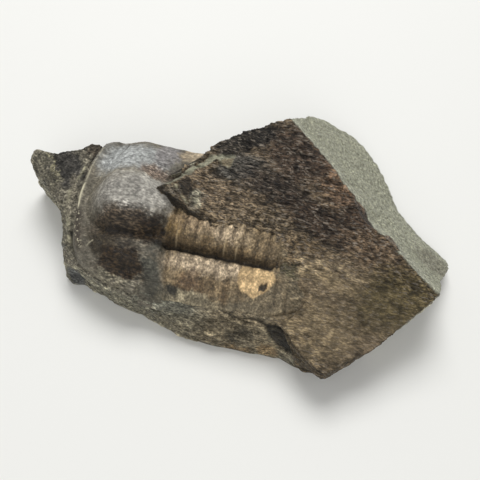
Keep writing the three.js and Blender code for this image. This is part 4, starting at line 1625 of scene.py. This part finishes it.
class Groups:
    """The shader effects that both stones share, each built once."""

    anywhere = (0.0, 0.0, 0.0)
    even = (1.0, 1.0, 1.0)
    mottle_spread = 14.0
    palest = 2.8
    fine_share = 0.4

    def __init__(self) -> None:
        """Builds every group."""
        self.patch = self._patch()
        self.speckle = self._speckle()
        self.grain = self._grain()
        self.mottle = self._mottle()

    @staticmethod
    def _start(name: str, inputs: dict[str, Spot | float], output: str) -> tuple[Web, object, Socket]:
        """Starts a group with its sockets.

        Args:
            name: the group's name.
            inputs: the name and value of each input.
            output: the name of its one output value.

        Returns:
            The web of its nodes, its inputs by name, and the socket that takes its result.
        """
        tree = bpy.data.node_groups.new(name, "ShaderNodeTree")
        for socket_name, value in inputs.items():
            kind = "NodeSocketVector" if isinstance(value, tuple) else "NodeSocketFloat"
            tree.interface.new_socket(socket_name, in_out="INPUT", socket_type=kind).default_value = value
        tree.interface.new_socket(output, in_out="OUTPUT", socket_type="NodeSocketFloat")
        web = Web(tree)
        return web, web.node("NodeGroupInput").outputs, web.node("NodeGroupOutput").inputs[output]

    def _patch(self) -> bpy.types.NodeTree:
        """A soft oval patch: 1 in its middle, 0 outside.

        Returns:
            The group.
        """
        web, given, result = self._start("soft_patch", {
            "Place": self.anywhere, "Centre": self.anywhere, "Half Size": self.even,
            "Axis": Upright.ON_TOP.value, "Turn": 0.0, "Softness": 0.3, "Strength": 1.0,
        }, "Mask")
        turned = web.node("ShaderNodeVectorRotate", {
            "Vector": given["Place"], "Center": given["Centre"], "Axis": given["Axis"],
            "Angle": given["Turn"],
        }, rotation_type="AXIS_ANGLE").outputs[0]
        offset = web.vector("DIVIDE", web.vector("SUBTRACT", turned, given["Centre"]), given["Half Size"])
        reach = web.node("ShaderNodeVectorMath", {0: offset}, operation="LENGTH").outputs["Value"]
        start = web.math("ADD", 1.0, given["Softness"])
        end = web.math("SUBTRACT", 1.0, given["Softness"])
        web.join(web.ramp(reach, start, end, (0.0, given["Strength"])), result)
        return web.tree

    def _speckle(self) -> bpy.types.NodeTree:
        """Small flecks, drawn out along one way.

        Returns:
            The group.
        """
        web, given, result = self._start("speckle", {
            "Place": self.anywhere, "Stretch": self.even, "Scale": 3.0, "Low": 0.5, "High": 0.65,
        }, "Mask")
        drawn = web.vector("MULTIPLY", given["Place"], given["Stretch"])
        flecks = web.noise(drawn, given["Scale"], 3.0, 0.6)
        web.join(web.ramp(flecks, given["Low"], given["High"]), result)
        return web.tree

    def _grain(self) -> bpy.types.NodeTree:
        """The height of fine grain under the mesh's own relief.

        Returns:
            The group.
        """
        web, given, result = self._start("stone_grain", {
            "Place": self.anywhere, "Stretch": self.even, "Coarse": 3.0, "Fine": 9.0,
        }, "Height")
        drawn = web.vector("MULTIPLY", given["Place"], given["Stretch"])
        coarse = web.noise(drawn, given["Coarse"], 3.0, 0.6)
        fine = web.math("MULTIPLY", web.noise(given["Place"], given["Fine"], 2.0, 0.6), self.fine_share)
        web.join(web.math("ADD", coarse, fine), result)
        return web.tree

    def _mottle(self) -> bpy.types.NodeTree:
        """How much darker or paler the stone is from grain to grain, as a number to multiply its colour by.

        Returns:
            The group.
        """
        web, given, result = self._start("stone_mottle", {
            "Place": self.anywhere, "Stretch": self.even, "Coarse": 1.5, "Fine": 3.5, "Contrast": 1.5,
        }, "Tint")
        drawn = web.vector("MULTIPLY", given["Place"], given["Stretch"])
        coarse = web.math("MULTIPLY", web.noise(drawn, given["Coarse"], 2.0, 0.55), 0.5)
        fine = web.math("MULTIPLY", web.noise(drawn, given["Fine"], 1.0), 0.5)
        both = web.math("SUBTRACT", web.math("ADD", coarse, fine), 0.5)
        power = web.math("POWER", given["Contrast"], web.math("MULTIPLY", both, self.mottle_spread))
        web.join(web.math("MINIMUM", power, self.palest), result)
        return web.tree


def tone(red: int, green: int, blue: int) -> tuple[float, ...]:
    """A colour of the dressed stone, from 0 to 255 as a screen shows it, as linear light.

    Args:
        red: the red part.
        green: the green part.
        blue: the blue part.

    Returns:
        The three parts in linear light, and a fourth of 1 for a socket.
    """
    parts = []
    for part in (red, green, blue):
        share = part / 255.0
        parts.append(share / 12.92 if share <= 0.04045 else ((share + 0.055) / 1.055) ** 2.4)
    return (*parts, 1.0)


@dataclass(frozen=True)
class Stain:
    """One soft patch of colour on the stone, placed in millimetres."""

    colour: Screen
    centre: Spot
    half: Spot
    turn: float = 0.0
    softness: float = 0.35
    strength: float = 0.9
    upright: Upright = Upright.ON_TOP

    def over(self, web: Web, groups: Groups, place: Socket, colour: object) -> Socket:
        """The colour with the patch laid over it."""
        return web.mix(self.mask(web, groups, place), colour, tone(*self.colour))

    def mask(self, web: Web, groups: Groups, place: Socket) -> Socket:
        """Where the patch lies.

        Args:
            web, groups: the material's nodes and the shared effects.
            place: the place on the stone, already made uneven.

        Returns:
            The strength of the patch at that place.
        """
        angle = math.radians(self.turn) * (-1.0 if self.upright is Upright.ON_TOP else 1.0)
        return web.node("ShaderNodeGroup", {
            "Place": place, "Centre": self.centre, "Half Size": self.half, "Axis": self.upright.value,
            "Turn": angle, "Softness": self.softness, "Strength": self.strength,
        }, node_tree=groups.patch).outputs["Mask"]


@dataclass(frozen=True)
class Coat:
    """A colour that lies where a mark of the piece's own mesh is."""

    mark: str
    colour: Screen
    strength: float = 1.0

    def over(self, web: Web, colour: object) -> Socket:
        """The colour with the coat laid over it."""
        return web.mix(web.math("MULTIPLY", web.mark(self.mark), self.strength), colour, tone(*self.colour))


@dataclass(frozen=True)
class Mottle:
    """How a stone differs from grain to grain: its stretch, its two scales and its contrast."""

    stretch: Spot
    coarse: float
    fine: float
    contrast: float

    def tint(self, web: Web, groups: Groups, place: Socket) -> Socket:
        """The number to multiply the stone's colour by.

        Args:
            web, groups: the material's nodes and the shared effects.
            place: the place on the stone.

        Returns:
            The number at that place.
        """
        given = {"Place": place, "Stretch": self.stretch, "Coarse": self.coarse, "Fine": self.fine}
        given["Contrast"] = self.contrast
        return web.node("ShaderNodeGroup", given, node_tree=groups.mottle).outputs["Tint"]


@dataclass(frozen=True)
class Surface:
    """How rough a stone is, and the grain that is finer than its mesh."""

    gloss_scale: float
    gloss_detail: float
    gloss: Point
    roughness: Point
    stretch: Spot
    coarse: float
    fine: float
    strength: float
    depth: float
    specular: float = 0.4

    def height(self, web: Web, groups: Groups, place: Socket) -> Socket:
        """The height of the fine grain at a place."""
        given = {"Place": place, "Stretch": self.stretch, "Coarse": self.coarse, "Fine": self.fine}
        return web.node("ShaderNodeGroup", given, node_tree=groups.grain).outputs["Height"]

    def join(self, web: Web, shader: bpy.types.Node, place: Socket, colour: Socket, height: Socket) -> None:
        """Joins the finished colour, roughness and grain to the shader.

        Args:
            web: the material's nodes.
            shader: the material's own shader.
            place: the place on the stone.
            colour: the finished colour.
            height: the height of the fine grain.
        """
        web.join(colour, shader.inputs["Base Color"])
        gloss = web.noise(place, self.gloss_scale, self.gloss_detail)
        web.join(web.ramp(gloss, *self.gloss, self.roughness), shader.inputs["Roughness"])
        given = {"Height": height, "Strength": self.strength, "Distance": self.depth * MM}
        web.join(web.node("ShaderNodeBump", given).outputs["Normal"], shader.inputs["Normal"])
        shader.inputs["Specular IOR Level"].default_value = self.specular


def start_material(name: str) -> tuple[bpy.types.Material, Web, bpy.types.Node]:
    """Starts a material with its own shader.

    Args:
        name: the material's name.

    Returns:
        The material, the web of its nodes and its shader.
    """
    material = bpy.data.materials.new(name)
    material.use_nodes = True
    return material, Web(material.node_tree), material.node_tree.nodes["Principled BSDF"]


@dataclass(frozen=True)
class ShaleFinish:
    """Grey-brown shale: stained on the higher layer, pale where it is freshly broken, with painted shade in
    its gaps and hollows.
    """

    bed: Screen = (130, 124, 108)
    wall: Screen = (174, 168, 145)
    # Paler than the bed though it is the same stone: the lighter wall colour stands in for light bounced onto
    # the walls, painted fill light
    layer: Screen = (112, 98, 77)
    fresh: Screen = (170, 170, 148)
    chip: Screen = (162, 160, 138)
    glint: Screen = (160, 149, 134)
    blue: Coat = Coat("blue", (120, 111, 92), 0.8)
    # ridge: painted highlight along the raised ridges
    ridge: Coat = Coat("ridge", (190, 170, 136), 0.85)
    fresh_edge: Coat = Coat("cut_edge", (186, 186, 166), 0.7)
    coats: tuple[Coat, ...] = (
        # Near black: painted shade in gaps, cracks, the crevice, under the ledge and on a steep face, and the
        # stone's own dark blotches
        Coat("stain_and_shade", (28, 26, 23), 0.9), Coat("vein", (206, 200, 168)),
        # Painted shade on the layer's near step face and along its broken edge
        Coat("near_step", (36, 31, 23), 0.85),
    )
    chip_strength: float = 0.92
    bedded: Mottle = Mottle((0.75, 0.75, 1.8), 2.2, 4.8, 1.62)
    flaky: Mottle = Mottle((0.5, 1.2, 1.2), 2.3, 5.0, 2.02)
    even: Mottle = Mottle((0.8, 0.8, 0.8), 2.0, 4.5, 1.18)
    grainy: Mottle = Mottle((1.0, 1.0, 1.0), 2.0, 4.4, 1.32)
    smooth_tint: float = 1.08
    glint_stretch: Spot = (0.5, 1.3, 1.3)
    glint_size: Sizes = (2.6, 0.53, 0.66)
    glint_strength: Point = (0.66, 0.7)
    # The relief mark darkens the hollows and lightens the crests: painted shade and painted highlight
    relief_shade_from: Point = (-1.0, 1.1)
    relief_shade_to: Point = (0.45, 1.5)
    layer_grain: Point = (0.6, 1.0)
    smooth_grain: float = 0.55
    surface: Surface = Surface(3.0, 2.0, (0.35, 0.65), (0.36, 0.75), (0.45, 1.15, 1.3), 2.4, 5.6, 1.0, 1.25)
    smoother: Stain = Stain((0, 0, 0), (16.5, -11.5, 7.0), (10.5, 6.0, 9.0), 0, 0.5, 0.55)
    beige: Stain = Stain((146, 132, 106), (-3.1, 2.75, 12.0), (1.1, 0.75, 3.0), 20, 0.3, 0.85)
    dull_end: Stain = Stain((142, 139, 121), (25.2, 1.2, 3.6), (2.8, 2.4, 3.4), 0, 0.5, 0.9)
    layer_stains: tuple[Stain, ...] = (
        Stain((114, 99, 79), (-3.2, -1.6, 11.4), (5.0, 2.6, 6.0), -8),
        Stain((84, 78, 66), (-8.1, -3.3, 12.0), (1.3, 0.9, 6.0), -20, 0.4, 0.8),
        Stain((124, 100, 78), (12.4, 3.9, 10.2), (6.0, 3.2, 9.0), -43, 0.4),
        Stain((58, 46, 36), (14.4, 0.6, 10.2), (3.4, 2.0, 9.0), -30, 0.5),
        Stain((61, 49, 40), (5.0, 6.6, 11.8), (5.0, 4.0, 9.0), -43, 0.4),
        Stain((25, 25, 24), (-1.7, 6.9, 12.0), (5.0, 2.0, 9.0), 43),
        Stain((90, 88, 82), (-1.4, 2.6, 11.8), (3.0, 1.8, 9.0), 27),
        Stain((44, 37, 32), (3.4, 1.1, 11.3), (4.8, 2.3, 9.0), -12, 0.5),
        Stain((54, 42, 33), (10.4, -1.7, 10.2), (5.6, 2.4, 9.0), -14, 0.5),
        Stain((82, 71, 53), (15.7, -11.0, 7.0), (2.8, 2.4, 9.0), 0, 0.5, 0.8),
        Stain((102, 85, 66), (17.4, -3.4, 9.1), (4.4, 2.4, 9.0), -8, 0.5),
        Stain((83, 73, 47), (21.0, -7.6, 7.6), (5.4, 3.8, 9.0), 25, 0.5),
        Stain((126, 111, 85), (11.4, -14.0, 5.5), (4.6, 3.6, 9.0), 0, 0.5),
        Stain((134, 118, 90), (11.2, -8.0, 8.9), (4.6, 0.8, 9.0), -14, 0.4, 0.8),
        Stain((92, 78, 58), (8.6, -5.0, 9.5), (2.6, 0.9, 9.0), -14, 0.5),
        Stain((128, 110, 84), (7.2, -6.5, 9.2), (1.7, 0.7, 9.0), -24, 0.4, 0.8),
        Stain((92, 88, 68), (7.0, -8.3, 8.2), (1.5, 0.8, 9.0), 0, 0.4, 0.8),
        Stain((142, 139, 121), (-5.3, -3.5, 11.4), (0.8, 1.2, 9.0), 10, 0.6, 0.8),
    )
    bed_stains: tuple[Stain, ...] = (
        Stain((52, 50, 48), (-23.2, -0.7, 7.9), (3.3, 2.2, 3.0), -53, 0.35),
        Stain((62, 54, 44), (-20.2, 2.9, 8.6), (1.8, 1.5, 3.0), 0, 0.4),
        Stain((104, 100, 84), (-27.0, -0.8, 7.6), (1.3, 1.6, 3.0), -11, 0.4, 0.7),
        Stain((150, 144, 116), (-25.0, -0.9, 7.8), (2.6, 0.22, 3.0), -58, 0.4, 0.7),
        Stain((142, 134, 116), (-21.3, -3.2, 7.7), (1.6, 0.7, 3.0), -68, 0.5, 0.6),
        Stain((88, 84, 70), (-24.7, -3.1, 7.0), (1.7, 1.2, 3.0), -40, 0.5, 0.8),
        Stain((98, 94, 79), (-20.6, -8.4, 6.0), (3.4, 1.2, 4.0), -59, 0.4, 0.8),
    )
    wall_stains: tuple[Stain, ...] = (
        Stain((156, 141, 113), (2.0, -15.0, 3.6), (9.0, 3.0, 4.0), 0, 0.4),
        Stain((132, 134, 121), (-5.8, -14.2, 5.2), (4.6, 1.6, 3.0), -5, 0.5, 0.7),
        Stain((206, 196, 166), (-3.8, -15.6, 2.4), (2.4, 2.0, 1.4), 0, 0.5, 0.5),
        Stain((174, 147, 108), (3.6, -15.9, 0.7), (1.4, 2.0, 0.5), 0, 0.4, 0.8, Upright.ON_WALL),
        Stain((188, 160, 118), (7.4, -15.3, 1.3), (1.3, 2.0, 1.1), 10, 0.4, 0.8, Upright.ON_WALL),
        Stain((104, 108, 112), (-18.2, -12.6, 1.8), (1.6, 1.6, 1.8), 0, 0.3, 0.8, Upright.ON_WALL),
        Stain((112, 114, 116), (-20.8, -9.6, 3.2), (1.4, 1.6, 1.8), 0, 0.3, 0.7, Upright.ON_WALL),
    )

    def make(self, groups: Groups) -> bpy.types.Material:
        """Builds the shale's material.

        Args:
            groups: the shared effects.

        Returns:
            The material.
        """
        material, web, shader = start_material("weathered_shale")
        place = web.place()
        colour = self._old_surface(web, groups, place)
        colour = web.mix(web.mark("fracture"), colour, self._fresh_surface(web, groups, place))
        height = self.surface.height(web, groups, place)
        height = web.math("MULTIPLY", height, web.ramp(web.mark("layer"), 0.0, 1.0, self.layer_grain))
        smoother = self.smoother.mask(web, groups, place)
        calm = web.ramp(smoother, 0.0, self.smoother.strength, (1.0, self.smooth_grain))
        self.surface.join(web, shader, place, colour, web.math("MULTIPLY", height, calm))
        return material

    def _old_surface(self, web: Web, groups: Groups, place: Socket) -> Socket:
        """The colour of the bed, the walls and the higher layer, with painted shade in gaps, cracks and
        hollows and painted highlight on crests.

        Args:
            web, groups: the material's nodes and the shared effects.
            place: the place on the stone.

        Returns:
            The colour.
        """
        uneven = web.uneven(place)
        colour = web.mix(web.mark("wall"), tone(*self.bed), tone(*self.wall))
        for stain in self.bed_stains + self.wall_stains:
            colour = stain.over(web, groups, uneven, colour)
        colour = web.tinted(self.blue.over(web, colour), self.bedded.tint(web, groups, place))
        colour = web.mix(web.mark("layer"), colour, self._layer_surface(web, groups, place, uneven))
        chip = self.beige.over(web, groups, uneven, tone(*self.chip))
        chip = web.tinted(chip, self.even.tint(web, groups, place))
        colour = web.mix(web.math("MULTIPLY", web.mark("chip"), self.chip_strength), colour, chip)
        for coat in self.coats:
            colour = coat.over(web, colour)
        # Painted shade in the hollows of the relief and painted highlight on its crests
        return web.tinted(colour, web.ramp(web.mark("relief"), *self.relief_shade_from, self.relief_shade_to))

    def _layer_surface(self, web: Web, groups: Groups, place: Socket, uneven: Socket) -> Socket:
        """The colour of the higher layer, flaky but for its near right corner, with painted highlights on its
        ridges and glints.

        Args:
            web, groups: the material's nodes and the shared effects.
            place: the place on the stone.
            uneven: the same place made uneven.

        Returns:
            The colour.
        """
        top = tone(*self.layer)
        for stain in self.layer_stains:
            top = stain.over(web, groups, uneven, top)
        smoother = self.smoother.mask(web, groups, place)
        flaky = web.blend(smoother, self.flaky.tint(web, groups, place), self.smooth_tint)
        top = web.tinted(self.ridge.over(web, top), flaky)
        scale, low, high = self.glint_size
        given = {"Place": place, "Stretch": self.glint_stretch, "Scale": scale, "Low": low, "High": high}
        glints = web.node("ShaderNodeGroup", given, node_tree=groups.speckle).outputs["Mask"]
        most, less = self.glint_strength
        strength = web.math("SUBTRACT", most, web.math("MULTIPLY", smoother, less))
        return web.mix(web.math("MULTIPLY", glints, strength), top, tone(*self.glint))

    def _fresh_surface(self, web: Web, groups: Groups, place: Socket) -> Socket:
        """The colour of the fresh fracture, paler along its top edge.

        Args:
            web, groups: the material's nodes and the shared effects.
            place: the place on the stone.

        Returns:
            The colour.
        """
        fresh = self.fresh_edge.over(web, tone(*self.fresh))
        fresh = self.dull_end.over(web, groups, place, fresh)
        return web.tinted(fresh, self.grainy.tint(web, groups, place))


@dataclass(frozen=True)
class FossilFinish:
    """Fine-grained fossil: blue-grey and dark brown on the head, pale brown on the thorax; part of the dark
    and the pale is painted shade and highlight.
    """

    head: Screen = (116, 110, 96)
    body: Screen = (129, 112, 85)
    ochre: Screen = (206, 176, 130)
    ochre_late: float = 0.3
    # furrow: near black, partly the furrow's own dark filling and partly painted shade; also the painted
    # shade under the layer's edge
    furrow: Screen = (14, 9, 4)
    furrow_strength: float = 0.95
    # The furrow's dark is also laid where the layer's edge lies over the fossil: painted shade
    covered: Point = (0.2, 0.5)
    under_layer_shade_strength: float = 0.75
    merged: Coat = Coat("merged", (112, 101, 80))
    early_coats: tuple[Coat, ...] = (
        # groove: painted shade in the ring grooves and along the cheek line
        Coat("groove", (58, 44, 30), 0.36), Coat("ochre", (206, 176, 130)), Coat("spot", (56, 54, 46), 0.9),
    )
    late_coats: tuple[Coat, ...] = (
        # crest: painted highlight on the ring tops
        Coat("crest", (190, 170, 134), 0.8), Coat("speckled", (48, 38, 30), 0.8),
        # rim: painted highlight along the raised border and its glint specks, with a real pale scratch
        Coat("rim", (240, 232, 200)),
    )
    ribbed: Mottle = Mottle((1.0, 0.8, 0.9), 2.0, 4.6, 1.42)
    grained: Mottle = Mottle((0.7, 1.1, 1.0), 1.7, 3.8, 1.32)
    flaky: Mottle = Mottle((0.6, 1.1, 1.1), 2.3, 4.8, 1.6)
    wrinkled: Mottle = Mottle((0.6, 1.3, 1.0), 1.9, 3.8, 1.7)
    # The relief mark darkens the hollows and ring grooves and lightens the ring tops: painted shade and
    # painted highlight
    relief_shade_from: Point = (-0.8, 0.9)
    relief_shade_to: Point = (0.6, 1.35)
    surface: Surface = Surface(1.2, 3.0, (0.3, 0.7), (0.4, 0.65), (1.0, 0.7, 1.0), 2.8, 7.0, 0.9, 0.34)
    stains: tuple[Stain, ...] = (
        # Pale grey over the glabella's top: partly its own grey and partly painted highlight
        Stain((170, 166, 157), (-12.4, -4.2, 11.8), (5.4, 2.6, 5.0), 10, 0.45),
        Stain((150, 152, 150), (-14.2, 1.4, 10.0), (4.0, 2.2, 5.0), 0, 0.4),
        # Paler blue-grey at the head's far left: painted sheen
        Stain((148, 150, 148), (-17.2, 1.2, 9.6), (2.6, 2.2, 5.0), -45, 0.5, 0.85),
        Stain((150, 146, 144), (-10.8, 3.4, 10.4), (2.2, 1.5, 5.0), 80, 0.4),
        Stain((180, 163, 136), (-7.8, 4.1, 10.1), (1.6, 1.6, 5.0), 60, 0.4),
        # Purple-brown in the hollow behind the glabella: partly its own colour and partly painted shade in
        # the hollow
        Stain((106, 92, 80), (-11.3, -0.2, 10.4), (1.3, 2.0, 5.0), 85, 0.4),
        # Dark brown on the glabella's near flank: partly its own colour and partly painted shade on the flank
        # that faces away from the light
        Stain((57, 45, 32), (-12.9, -8.0, 9.4), (5.2, 1.8, 5.0), 4, 0.45),
        # Near black at the foot of that flank: painted shade, partly its own dark brown
        Stain((30, 21, 12), (-9.2, -7.6, 9.4), (2.2, 1.3, 5.0), -8, 0.5),
        Stain((50, 42, 28), (-15.0, -9.9, 8.0), (2.0, 1.5, 5.0), -30, 0.5, 0.85),
        Stain((34, 22, 6), (-11.9, -11.9, 6.9), (3.2, 2.2, 5.0), -4, 0.3, 0.95),
        Stain((68, 68, 60), (-8.2, -10.9, 7.4), (1.1, 2.5, 5.0), 8, 0.4, 0.8),
        Stain((70, 69, 60), (-5.4, -13.8, 5.6), (3.4, 1.1, 5.0), 0, 0.5, 0.9),
        Stain((121, 100, 65), (-7.0, -6.0, 10.4), (0.9, 1.9, 5.0), 0, 0.4, 0.8),
        # These two: paler along the top of the axis, partly painted highlight where the light falls
        Stain((164, 142, 113), (-4.2, -5.7, 10.2), (3.0, 0.8, 5.0), 0, 0.5, 0.7),
        Stain((191, 171, 142), (-0.7, -5.6, 9.9), (2.5, 1.1, 5.0), 0, 0.5, 0.8),
        # Darker along the axis's lower flank above the furrow: painted shade
        Stain((109, 89, 60), (-1.4, -7.7, 8.8), (7.0, 0.7, 5.0), 1, 0.6, 0.7),
        Stain((200, 180, 152), (-2.0, -9.85, 7.7), (5.0, 1.0, 5.0), 3, 0.6, 0.8),
        Stain((104, 84, 60), (-3.2, -12.2, 6.6), (2.4, 0.9, 5.0), 4, 0.5, 0.7),
        Stain((104, 86, 62), (0.6, -11.8, 6.9), (0.7, 1.3, 5.0), 0, 0.5, 0.7),
        Stain((154, 143, 117), (-2.3, -13.8, 5.7), (4.2, 0.8, 5.0), 1, 0.5, 0.8),
        Stain((138, 132, 112), (-13.0, -13.6, 5.8), (3.4, 0.4, 5.0), -8, 0.6, 0.5),
        Stain((86, 66, 50), (-3.6, -11.6, 6.9), (1.0, 1.2, 5.0), 0, 0.5, 0.5),
        Stain((101, 86, 63), (4.5, -6.3, 9.4), (2.0, 1.1, 5.0), -15, 0.5, 0.8),
        Stain((98, 91, 75), (3.4, -13.3, 5.9), (2.4, 0.9, 5.0), 0, 0.5, 0.8),
        Stain((112, 102, 82), (6.0, -11.8, 7.0), (2.6, 2.2, 5.0), 0, 0.5, 0.8),
    )

    def make(self, groups: Groups) -> bpy.types.Material:
        """Builds the fossil's material.

        Args:
            groups: the shared effects.

        Returns:
            The material.
        """
        material, web, shader = start_material("trilobite_stone")
        place = web.place()
        uneven = web.uneven(place)
        colour = web.mix(web.mark("body"), tone(*self.head), tone(*self.body))
        for stain in self.stains:
            colour = stain.over(web, groups, uneven, colour)
        for coat in self.early_coats:
            colour = coat.over(web, colour)
        colour = web.tinted(self.merged.over(web, colour), self._tint(web, groups, place))
        late = web.math("MULTIPLY", web.mark("ochre"), self.ochre_late)
        late = web.math("MULTIPLY", late, web.math("SUBTRACT", 1.0, web.mark("spot")))
        colour = web.mix(late, colour, tone(*self.ochre))
        # Painted shade in the hollows and ring grooves, painted highlight on the ring tops
        colour = web.tinted(colour, web.ramp(web.mark("relief"), *self.relief_shade_from, self.relief_shade_to))
        for coat in self.late_coats:
            colour = coat.over(web, colour)
        # Painted shade under the layer's edge, and the furrow's dark, which is partly its own filling and
        # partly painted shade
        covered = web.ramp(web.mark("covered"), *self.covered, (0.0, self.under_layer_shade_strength))
        dark = web.math("MULTIPLY", web.mark("furrow"), self.furrow_strength)
        colour = web.mix(web.math("MAXIMUM", dark, covered), colour, tone(*self.furrow))
        height = self.surface.height(web, groups, place)
        self.surface.join(web, shader, place, colour, height)
        return material

    def _tint(self, web: Web, groups: Groups, place: Socket) -> Socket:
        """How dark or pale each grain is: its own way on the head, its dark parts, the thorax and the tail.

        Args:
            web, groups: the material's nodes and the shared effects.
            place: the place on the stone.

        Returns:
            The number to multiply the colour by.
        """
        tint = self.grained.tint(web, groups, place)
        for name, mottle in (("wrinkled", self.wrinkled), ("body", self.ribbed), ("merged", self.flaky)):
            tint = web.blend(web.mark(name), tint, mottle.tint(web, groups, place))
        return tint


@dataclass
class Studio:
    """The pale floor, the soft lights and the camera."""

    floor_half: float = 1.5
    floor_tone: Screen = (238, 238, 234)
    floor_roughness: float = 0.7
    camera_at: Spot = (8.39879, -48.86517, 72.10868)
    camera_turn: Spot = (33.79347, -3.23919, 14.16582)
    lens: float = 48.0
    sensor: float = 36.0
    clip: Point = (0.005, 10.0)
    ambient: float = 0.3
    lamps: tuple[tuple[str, Spot, float, float], ...] = (
        ("key_light", (-0.06, 0.20, 0.36), 0.24, 1.25), ("front_fill", (0.04, -0.34, 0.26), 0.3, 0.6),
    )

    def build(self) -> None:
        """Makes the floor, the lights and the camera."""
        self._floor()
        self._world()
        for name, at, size, power in self.lamps:
            self._light(name, at, size, power)
        self._camera()

    def _floor(self) -> None:
        """Makes the pale plain floor."""
        plane = bmesh.new()
        bmesh.ops.create_grid(plane, x_segments=1, y_segments=1, size=self.floor_half)
        mesh = MeshTools.finished(plane, bpy.data.meshes.new("studio_floor"))
        material, _, shader = start_material("pale_floor")
        shader.inputs["Base Color"].default_value = tone(*self.floor_tone)
        shader.inputs["Roughness"].default_value = self.floor_roughness
        mesh.materials.append(material)
        MeshTools.show("studio_floor", mesh)

    def _world(self) -> None:
        """Makes even pale light from all round."""
        world = bpy.data.worlds.new("studio_air")
        world.use_nodes = True
        background = world.node_tree.nodes["Background"]
        background.inputs["Color"].default_value = (1.0, 1.0, 1.0, 1.0)
        background.inputs["Strength"].default_value = self.ambient
        bpy.context.scene.world = world

    def _light(self, name: str, at: Spot, size: float, power: float) -> None:
        """Makes a square soft light that faces the object.

        Args:
            name: the light's name.
            at: its place, in metres.
            size: the length of its side, in metres.
            power: its power, in watts.
        """
        data = bpy.data.lights.new(name, "AREA")
        data.size = size
        data.energy = power
        lamp = MeshTools.show(name, data)
        lamp.location = at
        lamp.rotation_mode = "QUATERNION"
        lamp.rotation_quaternion = (-Vector(at)).to_track_quat("-Z", "Y")

    def _camera(self) -> None:
        """Makes the camera, which looks down on the piece from the front left."""
        data = bpy.data.cameras.new("camera")
        data.lens = self.lens
        data.sensor_width = self.sensor
        data.clip_start, data.clip_end = self.clip
        camera = MeshTools.show("camera", data)
        camera.location = [value * MM for value in self.camera_at]
        camera.rotation_euler = [math.radians(value) for value in self.camera_turn]
        bpy.context.scene.camera = camera
        bpy.context.scene.view_settings.view_transform = "Standard"


def packed_solids() -> BVHTree:
    """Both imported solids, in millimetres in the drawing frame, for rays to find.

    Returns:
        One tree of both.
    """
    both = MeshTools.copy_of_node("rock_matrix")
    spare = MeshTools.finished(MeshTools.copy_of_node("trilobite"), bpy.data.meshes.new("spare"))
    both.from_mesh(spare)
    bpy.data.meshes.remove(spare)
    solids = BVHTree.FromBMesh(both)
    both.free()
    return solids


def main() -> None:
    """Builds the rock, the fossil and the studio, in that order."""
    logging.basicConfig(level=logging.INFO, format="%(name)s: %(message)s")
    fossil_form = FossilForm(RockForm())
    solids = packed_solids()
    groups = Groups()
    matrix = RockMatrix(fossil_form.rock, fossil_form)
    rock = matrix.build(solids)
    matrix.dress(rock, ShaleFinish().make(groups))
    trilobite = Trilobite(fossil_form)
    fossil = trilobite.build(solids, matrix)
    trilobite.dress(fossil, FossilFinish().make(groups))
    for piece in (rock, fossil):
        LOG.info("%s: %d faces", piece.name, len(piece.data.polygons))
    Studio().build()


if __name__ == "__main__":
    main()
